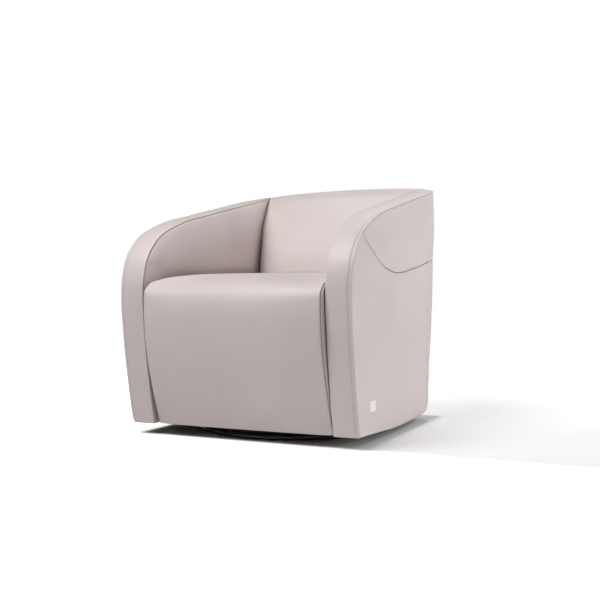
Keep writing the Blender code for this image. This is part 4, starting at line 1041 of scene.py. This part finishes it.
def stitch_row(name, path, outward):
    """Row of short thread stitches laid along a path, each dipping into the leather at its ends."""
    path, outward = np.array(path, float), np.array(outward, float)
    ways = ways_along(path)
    verts, faces = [], []
    start = STITCH_PITCH
    while start + STITCH_LENGTH < ways[-1] - STITCH_PITCH:
        faces += loft_faces(len(STITCH_RINGS), STITCH_SIDES, len(verts))
        for share, girth, lift in STITCH_RINGS:
            place = start + STITCH_LENGTH * share
            centre = points_along(path, ways, place)
            out = points_along(outward, ways, place)
            ahead = points_along(path, ways, place + STITCH_LENGTH / 10) - centre
            ahead /= np.linalg.norm(ahead)
            out -= ahead * (out @ ahead)
            out /= np.linalg.norm(out)
            across = np.cross(ahead, out)
            for step in range(STITCH_SIDES):
                angle = 2 * math.pi * step / STITCH_SIDES
                turned = across * math.cos(angle) + out * math.sin(angle)
                verts.append(centre + (out * lift + turned * girth) * STITCH_RADIUS)
        start += STITCH_PITCH
    add_piece(name, verts, faces, "thread")


def band_stitches(side, suffix):
    """Topstitching on the band, beside its outer seam."""
    least = STITCHED_WIDTH * chair_sizes().stitch_inset
    furrow = len(BAND_EDGE) + len(CROWN_SHARES) + len(FURROW_SHARES) // 2
    path, outward = [], []
    for width, direction, ring in band_rings(side):
        if width < least:
            break
        path.append(ring[furrow])
        outward.append(direction)
    stitch_row("band_stitches_" + suffix, path, outward)


def inflate(piece, held):
    """Blow a piece up as cloth between its held places, and keep a capped part of the swelling."""
    mesh = piece.data
    before = np.array([vert.co for vert in mesh.vertices])
    group = piece.vertex_groups.new(name="held")
    group.add([int(index) for index in np.flatnonzero(held)], 1.0, "REPLACE")
    cloth = piece.modifiers.new("cloth", "CLOTH")
    for name, value in CLOTH.items():
        setattr(cloth.settings, name, value)
    cloth.settings.vertex_group_mass = "held"
    cloth.settings.effector_weights.gravity = 0.0
    cloth.collision_settings.use_collision = False
    cloth.point_cache.frame_start = 1
    cloth.point_cache.frame_end = CLOTH_FRAMES
    scene = bpy.context.scene
    for number in range(1, CLOTH_FRAMES + 1):
        scene.frame_set(number)
    shaped = piece.evaluated_get(bpy.context.evaluated_depsgraph_get()).data
    moved = np.array([vert.co for vert in shaped.vertices]) - before
    piece.modifiers.remove(cloth)
    piece.vertex_groups.remove(group)
    scene.frame_set(1)
    reach = np.linalg.norm(moved, axis=1)
    kept = SWELL_CAP * np.tanh(reach / SWELL_CAP)
    result = before + moved * (kept / (reach + NOT_ZERO))[:, None]
    mesh.vertices.foreach_set("co", result.ravel())
    mesh.update()


def lofted_cushion(name, node, verts, held, rows):
    """Closed cushion of equal rings, blown up between its held places."""
    cushion = add_piece(name, verts, loft_faces(rows, len(verts) // rows))
    inflate(cushion, np.array(held))
    stand_in(node)


def seat_cushion():
    """Waterfall seat: a crowned pad that also drops down the front, boxed at both sides."""
    level = SEAT_FRONT[-1, 1]
    profile = np.vstack((SEAT_FRONT, [(SEAT_REAR_Y / 2, level), (SEAT_REAR_Y, level)]))
    profile = even_steps(profile, PROFILE_STEP)
    soft = soften(profile, SOFT_STEPS)
    inner_edge = profile + curve_normals(profile) * SEAT_DROP
    places = [(SEAT_SIDE_X - inset, depth) for inset, depth in SEAT_EDGE]
    shares = np.arange(SEAT_FLAT_STEPS) / SEAT_FLAT_STEPS
    half = [(places[0][0] * share, 0.0) for share in shares] + places
    stations = [(-x, depth) for x, depth in reversed(half[1:])] + half
    top_share = ramp(profile[:, 0], -HALF_DEPTH, TOP_FADE * HALF_DEPTH)
    verts, held = [], []
    for x, depth in stations:
        share = (x / SEAT_SIDE_X) ** 2
        front_rise = SEAT_SWELL * (1 - share)
        top_rise = SEAT_SWELL - SEAT_TUCK - SEAT_CROWN * share
        bent = profile + (soft - profile) * (1 - share ** 3)
        drop = depth - front_rise + (front_rise - top_rise) * top_share
        outer = bent + curve_normals(bent) * drop[:, None]
        outer[:, 1] = np.maximum(outer[:, 1], BODY_BOTTOM)
        sewn = abs(x) > SEAT_SIDE_X - SEAT_SEWN
        spread = SEAT_FOOT_SPREAD * max(-x / SEAT_SIDE_X, 0)
        for y, z in outer:
            foot = spread * (min(max(1 - z / SEAT_FOOT_TOP, 0), 1) - SEAT_FOOT_START)
            verts.append((x + SEAT_SHIFT - foot, y, z))
            held.append(sewn or z < BODY_BOTTOM + SEAT_FOOT or y > CREVICE_FRONT_Y)
        for y, z in inner_edge[::-1]:
            verts.append((x + SEAT_SHIFT, y, max(z, BODY_BOTTOM)))
            held.append(True)
    lofted_cushion("seat_leather", "seat_cushion", verts, held, len(stations))


def edge_share(x, z, half):
    """How near a place on the back cushion is to its side edge: 0 on the face, 1 at the edge."""
    share = np.clip((z - SEAT_CROWN_TOP) / (BODY_TOP - SEAT_CROWN_TOP), 0, 1)
    reach = float(np.interp(share, *END_REACH))
    return min(max((abs(x) - half + reach) / reach, 0), 1) ** EDGE_FALL


def cushion_face(x, z, half):
    """Y of the back cushion's face at a place across it and a height."""
    share = (z - SEAT_CROWN_TOP) / (BODY_TOP - SEAT_CROWN_TOP)
    bulge = FOOT_BULGE + (TOP_BULGE - FOOT_BULGE) * share
    face = float(value_at(CREVICE, z)) - bulge * (1 - SIDE_LOSS * (x / half) ** 2)
    return face + (float(value_at(CUSHION_EDGE, z)) - face) * edge_share(x, z, half)


def cushion_section(x, half):
    """Side-view section of the back cushion: foot, face, roll over the top, and rear."""
    top = float(cushion_top_z(x))
    low = SEAT_CROWN_TOP - SEAT_TUCK - SEAT_CROWN * (x / SEAT_SIDE_X) ** 2 + CUSHION_GAP
    section = [
        (cushion_face(x, z, half) + float(edge_roll(z - low, FOOT_ROLL)), z)
        for z in np.linspace(low, top - TOP_ROLL, FACE_STEPS)
    ]
    (before_y, before_z), (face_y, face_z) = section[-2:]
    rise, lean = face_z - before_z, face_y - before_y
    seam_z = float(cushion_seam_z(x))
    beyond = min(max(abs(x) - WALL_FLAT, 0), CORNER_RADIUS)
    wall = math.sqrt(CORNER_RADIUS ** 2 - beyond ** 2)
    seam_y = float(back_y(seam_z)) - CORNER_RADIUS + wall
    peak_share = PEAK_SHARE + PEAK_SHIFT * edge_share(x, top, half)
    peak_y = face_y + (seam_y - face_y) * peak_share
    up = FACE_WAY / math.hypot(rise, lean)
    section.extend(bend(
        section[-1], (lean * up, rise * up), ((peak_y - face_y) * PEAK_WAY, 0.0), (peak_y, top),
        TOP_STEPS,
    ))
    section.extend(bend(
        section[-1], ((seam_y - peak_y) * OVER_WAY, 0.0), (0.0, (seam_z - top) * SEAM_WAY),
        (seam_y, seam_z), OVER_STEPS,
    ))
    section.append((seam_y - SEAM_TURN[0], seam_z - SEAM_TURN[1]))
    for z in np.linspace(seam_z - REAR_START, low, REAR_STEPS):
        section.append((min(float(value_at(CREVICE, z)) + REAR_GAP, seam_y - REAR_DEPTH), z))
    return section


def back_cushion():
    """Back cushion between the arms, which rolls over the top to the outer back."""
    half = ARM_INNER_X - CUSHION_GAP
    across = np.concatenate([
        *(np.linspace(*share, endpoint=False) for share in CUSHION_RUNS), CUSHION_ENDS,
    ])
    stations = np.concatenate((-across[:0:-1], across)) * half
    last_free = FACE_STEPS + TOP_STEPS + HELD_STEPS
    verts, held = [], []
    for x in stations:
        for index, (y, z) in enumerate(cushion_section(x, half)):
            verts.append((x, y, z))
            held.append(abs(x) > HELD_SHARE * half or index > last_free or index < HELD_FOOT)
    lofted_cushion("back_leather", "back_cushion", verts, held, len(stations))


def blank_tag():
    """Small blank tape tag sewn to the right outer side, bowed a little by its stitches."""
    low, high = TAG_LOW, TAG_HIGH
    width, height = high.y - low.y, high.z - low.z
    verts, faces = [], []
    for front in (True, False):
        for row in range(TAG_ROWS):
            for column in range(TAG_COLUMNS):
                u, v = column / (TAG_COLUMNS - 1), row / (TAG_ROWS - 1)
                inset = min(min(u, 1 - u) * width, min(v, 1 - v) * height)
                bow = TAG_BOW * (1 - math.exp(-inset / TAG_BOW_REACH))
                x = low.x + TAG_OUT + (bow if front else -TAG_BACK)
                verts.append((x, low.y + width * u, low.z + height * v))
    for row in range(TAG_ROWS - 1):
        for first in range(row * TAG_COLUMNS, row * TAG_COLUMNS + TAG_COLUMNS - 1):
            above = first + TAG_COLUMNS
            faces.append((first, first + 1, above + 1, above))
    total = TAG_ROWS * TAG_COLUMNS
    right = range(2 * TAG_COLUMNS - 1, total, TAG_COLUMNS)
    top = range(total - 2, total - TAG_COLUMNS - 1, -1)
    left = range(total - 2 * TAG_COLUMNS, 0, -TAG_COLUMNS)
    rim = [*range(TAG_COLUMNS), *right, *top, *left]
    tag = add_piece("blank_tag", verts, closed_pair(faces, total, rim), "tag_cloth")
    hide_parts("side_tag")


def finish_packed_pieces():
    """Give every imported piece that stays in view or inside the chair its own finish."""
    for row in frame["record"]["subparts"]:
        if row["material_slot"] not in REPLACED_SLOTS:
            materials = frame["nodes"][row["node"]].data.materials
            materials.clear()
            materials.append(material_named(row["material_slot"]))


def white_floor():
    """Pale floor that glows to white for the camera away from the chair, and keeps its shadow."""
    mesh = bpy.data.meshes.new("studio_floor")
    low, high = -FLOOR_REACH, FLOOR_REACH
    corners = [(low, low, 0), (high, low, 0), (high, high, 0), (low, high, 0)]
    mesh.from_pydata(corners, [], [(0, 1, 2, 3)])
    look = Finish("matt_white_floor", to_linear("#F0F0F0"), 0.8)
    # Distance from the chair's footprint, so that the dark contact under it stays
    over = look.combine("VectorMath", "SUBTRACT", look.place, FOOTPRINT_HIGH)
    under = look.combine("VectorMath", "SUBTRACT", FOOTPRINT_LOW, look.place)
    beyond = look.combine("VectorMath", "MAXIMUM", over, under)
    clear = look.combine("VectorMath", "MAXIMUM", beyond, (0.0, 0.0, 0.0))
    away = look.combine("VectorMath", "LENGTH", clear, output="Value")
    edge = look.between(away, 0.0, 1.0, 0.0, CONTACT_FADE, interpolation_type="SMOOTHSTEP")
    # The glow fades towards the side where the soft shadow lies
    slope = look.combine("VectorMath", "DOT_PRODUCT", look.place, GLOW_SLOPE, output="Value")
    level = look.combine("Math", "ADD", slope, GLOW_LEVEL)
    level.node.use_clamp = True
    along = look.node("SeparateXYZ", links={"Vector": look.place}).outputs["Y"]
    start, end, most = FRONT_GLOW
    front = look.between(along, 0.0, most, start, end)
    near = look.combine("Math", "MULTIPLY", look.combine("Math", "ADD", level, front), edge)
    radius = look.combine("VectorMath", "LENGTH", look.place, output="Value")
    far = look.between(radius, 0.0, 1.0, *FAR_GLOW)
    glow = look.combine("Math", "MAXIMUM", near, far)
    ray = look.node("LightPath").outputs["Is Camera Ray"]
    look.set({"Emission Color": (1.0, 1.0, 1.0, 1.0)})
    look.drive({"Emission Strength": look.combine("Math", "MULTIPLY", ray, glow)})
    mesh.materials.append(look.material)
    add_object("studio_floor", mesh)


def studio_world(strength):
    """White surround for the camera, and an even fill for the object."""
    world = bpy.data.worlds.new("studio_world")
    bpy.context.scene.world = world
    world.use_nodes = True
    tree = world.node_tree
    tree.nodes.clear()
    ray = add_node(tree, "LightPath").outputs
    seen = add_node(
        tree, "Math", {"operation": "MAXIMUM"},
        {0: ray["Is Camera Ray"], 1: ray["Is Transmission Ray"]},
    )
    fill, white = (
        add_node(tree, "Background", {"Color": (1.0, 1.0, 1.0, 1.0), "Strength": level})
        for level in (strength, 1.0)
    )
    sources = (seen.outputs["Value"], fill.outputs["Background"], white.outputs["Background"])
    mix = add_node(tree, "MixShader", links=dict(enumerate(sources)))
    add_node(tree, "OutputWorld", links={"Surface": mix.outputs["Shader"]})


def soft_box(name, place, size, power):
    """Square area lamp that looks at the chair."""
    lamp = bpy.data.lights.new(name, "AREA")
    lamp.size = size
    lamp.energy = power
    item = add_object(name, lamp)
    item.location = place
    item.rotation_euler = (Vector(LAMP_AIM) - Vector(place)).to_track_quat("-Z", "Y").to_euler()


def photo_camera():
    """Camera at the photograph's place, aim and lens."""
    data = bpy.data.cameras.new("photo_camera")
    data.lens = CAMERA_LENS_MM
    data.sensor_width = CAMERA_SENSOR_MM
    data.clip_start = CAMERA_NEAR
    camera = add_object("photo_camera", data)
    camera.location = CAMERA_PLACE
    camera.rotation_euler = Vector(CAMERA_AIM).to_track_quat("-Z", "Y").to_euler()
    bpy.context.scene.camera = camera
    bpy.context.scene.view_settings.view_transform = "Standard"


def length_property(name, description, default, lowest, highest):
    """A length that a user may change."""
    return bpy.props.FloatProperty(
        name=name, description=description, default=default, min=lowest, max=highest, unit="LENGTH",
    )


def colour_property(name, description, code):
    """A colour that a user may change, as linear red, green and blue."""
    return bpy.props.FloatVectorProperty(
        name=name, description=description, default=to_linear(code), subtype="COLOR", size=3,
        min=0.0, max=1.0,
    )


class ClubChairSizes(bpy.types.PropertyGroup):
    """Sizes of the leather work that a user may change."""
    padding: length_property(
        "Skin Padding", "How far the outer skins stand out between their seams", 0.0022, 0.0, 0.01,
    )
    arm_padding: length_property(
        "Inner Arm Padding", "How far the inner arms stand out from their seams", 0.0145, 0.0, 0.02,
    )
    band_crown: length_property(
        "Band Crown", "Height of the arm band's middle above its rolled edges", 0.0014, 0.0, 0.01,
    )
    stitch_inset: length_property(
        "Stitch Inset", "Distance of the topstitching from the seam beside it", 0.0085, 0.004, 0.02,
    )


class ClubChairColours(bpy.types.PropertyGroup):
    """Colours that a user may change."""
    leather: colour_property("Leather", "Colour of the hide", "#D0C5C3")
    thread: colour_property("Thread", "Colour of the sewing thread", "#A89C98")
    disc: colour_property("Floor Disc", "Colour of the floor disc's lacquer", "#101011")
    tag: colour_property("Tag", "Colour of the blank tape tag", "#F2F1EE")


class CLUBCHAIR_OT_seat(bpy.types.Operator):
    """Make the waterfall seat"""
    bl_idname = "club_chair.seat"
    bl_label = "Seat"

    def execute(self, context):
        seat_cushion()
        return {"FINISHED"}


class CLUBCHAIR_OT_back(bpy.types.Operator):
    """Make the back cushion"""
    bl_idname = "club_chair.back"
    bl_label = "Back Cushion"

    def execute(self, context):
        back_cushion()
        return {"FINISHED"}


class CLUBCHAIR_OT_arms(bpy.types.Operator):
    """Make the inner arms, their bands and the topstitching"""
    bl_idname = "club_chair.arms"
    bl_label = "Arms"

    def execute(self, context):
        for side, suffix in SIDES:
            inner_arm_panel(side, suffix)
            arm_band(side, suffix)
            band_stitches(side, suffix)
        return {"FINISHED"}


class CLUBCHAIR_OT_outside(bpy.types.Operator):
    """Make the outer sides, the outer back and the yoke"""
    bl_idname = "club_chair.outside"
    bl_label = "Outside"

    def execute(self, context):
        for side, suffix in SIDES:
            side_panels(side, suffix)
        back_panels()
        return {"FINISHED"}


class CLUBCHAIR_OT_tag(bpy.types.Operator):
    """Make the blank tag"""
    bl_idname = "club_chair.tag"
    bl_label = "Tag"

    def execute(self, context):
        blank_tag()
        return {"FINISHED"}


class CLUBCHAIR_OT_finishes(bpy.types.Operator):
    """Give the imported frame, swivel and disc their finishes"""
    bl_idname = "club_chair.finishes"
    bl_label = "Frame Finishes"

    def execute(self, context):
        finish_packed_pieces()
        return {"FINISHED"}


class CLUBCHAIR_OT_stage(bpy.types.Operator):
    """Set the floor, the lamps and the camera"""
    bl_idname = "club_chair.stage"
    bl_label = "Stage"

    def execute(self, context):
        white_floor()
        studio_world(WORLD_FILL)
        for name, place, size, power in LAMPS:
            soft_box(name, place, size, power)
        photo_camera()
        return {"FINISHED"}


class CLUBCHAIR_PT_panel(bpy.types.Panel):
    """Lists the chair's sizes, colours and pieces"""
    bl_idname = "CLUBCHAIR_PT_panel"
    bl_label = "Club Chair"
    bl_space_type = "VIEW_3D"
    bl_region_type = "UI"
    bl_category = "Club Chair"

    def draw(self, context):
        layout = self.layout
        for group in (context.scene.club_chair_sizes, context.scene.club_chair_colours):
            for name in group.__annotations__:
                layout.prop(group, name)
        for operator in OPERATORS:
            layout.operator(operator.bl_idname)


OPERATORS = (
    CLUBCHAIR_OT_finishes, CLUBCHAIR_OT_seat, CLUBCHAIR_OT_back, CLUBCHAIR_OT_arms,
    CLUBCHAIR_OT_outside, CLUBCHAIR_OT_tag, CLUBCHAIR_OT_stage,
)
CLASSES = (ClubChairSizes, ClubChairColours, *OPERATORS, CLUBCHAIR_PT_panel)


def register():
    """Register the classes and the two property groups."""
    for item in CLASSES:
        bpy.utils.register_class(item)
    bpy.types.Scene.club_chair_sizes = bpy.props.PointerProperty(type=ClubChairSizes)
    bpy.types.Scene.club_chair_colours = bpy.props.PointerProperty(type=ClubChairColours)


def unregister():
    """Remove the property groups and the classes."""
    del bpy.types.Scene.club_chair_colours
    del bpy.types.Scene.club_chair_sizes
    for item in reversed(CLASSES):
        bpy.utils.unregister_class(item)


def main():
    """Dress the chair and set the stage."""
    register()
    for operator in OPERATORS:
        group, name = operator.bl_idname.split(".")
        getattr(getattr(bpy.ops, group), name)()


if __name__ == "__main__":
    main()
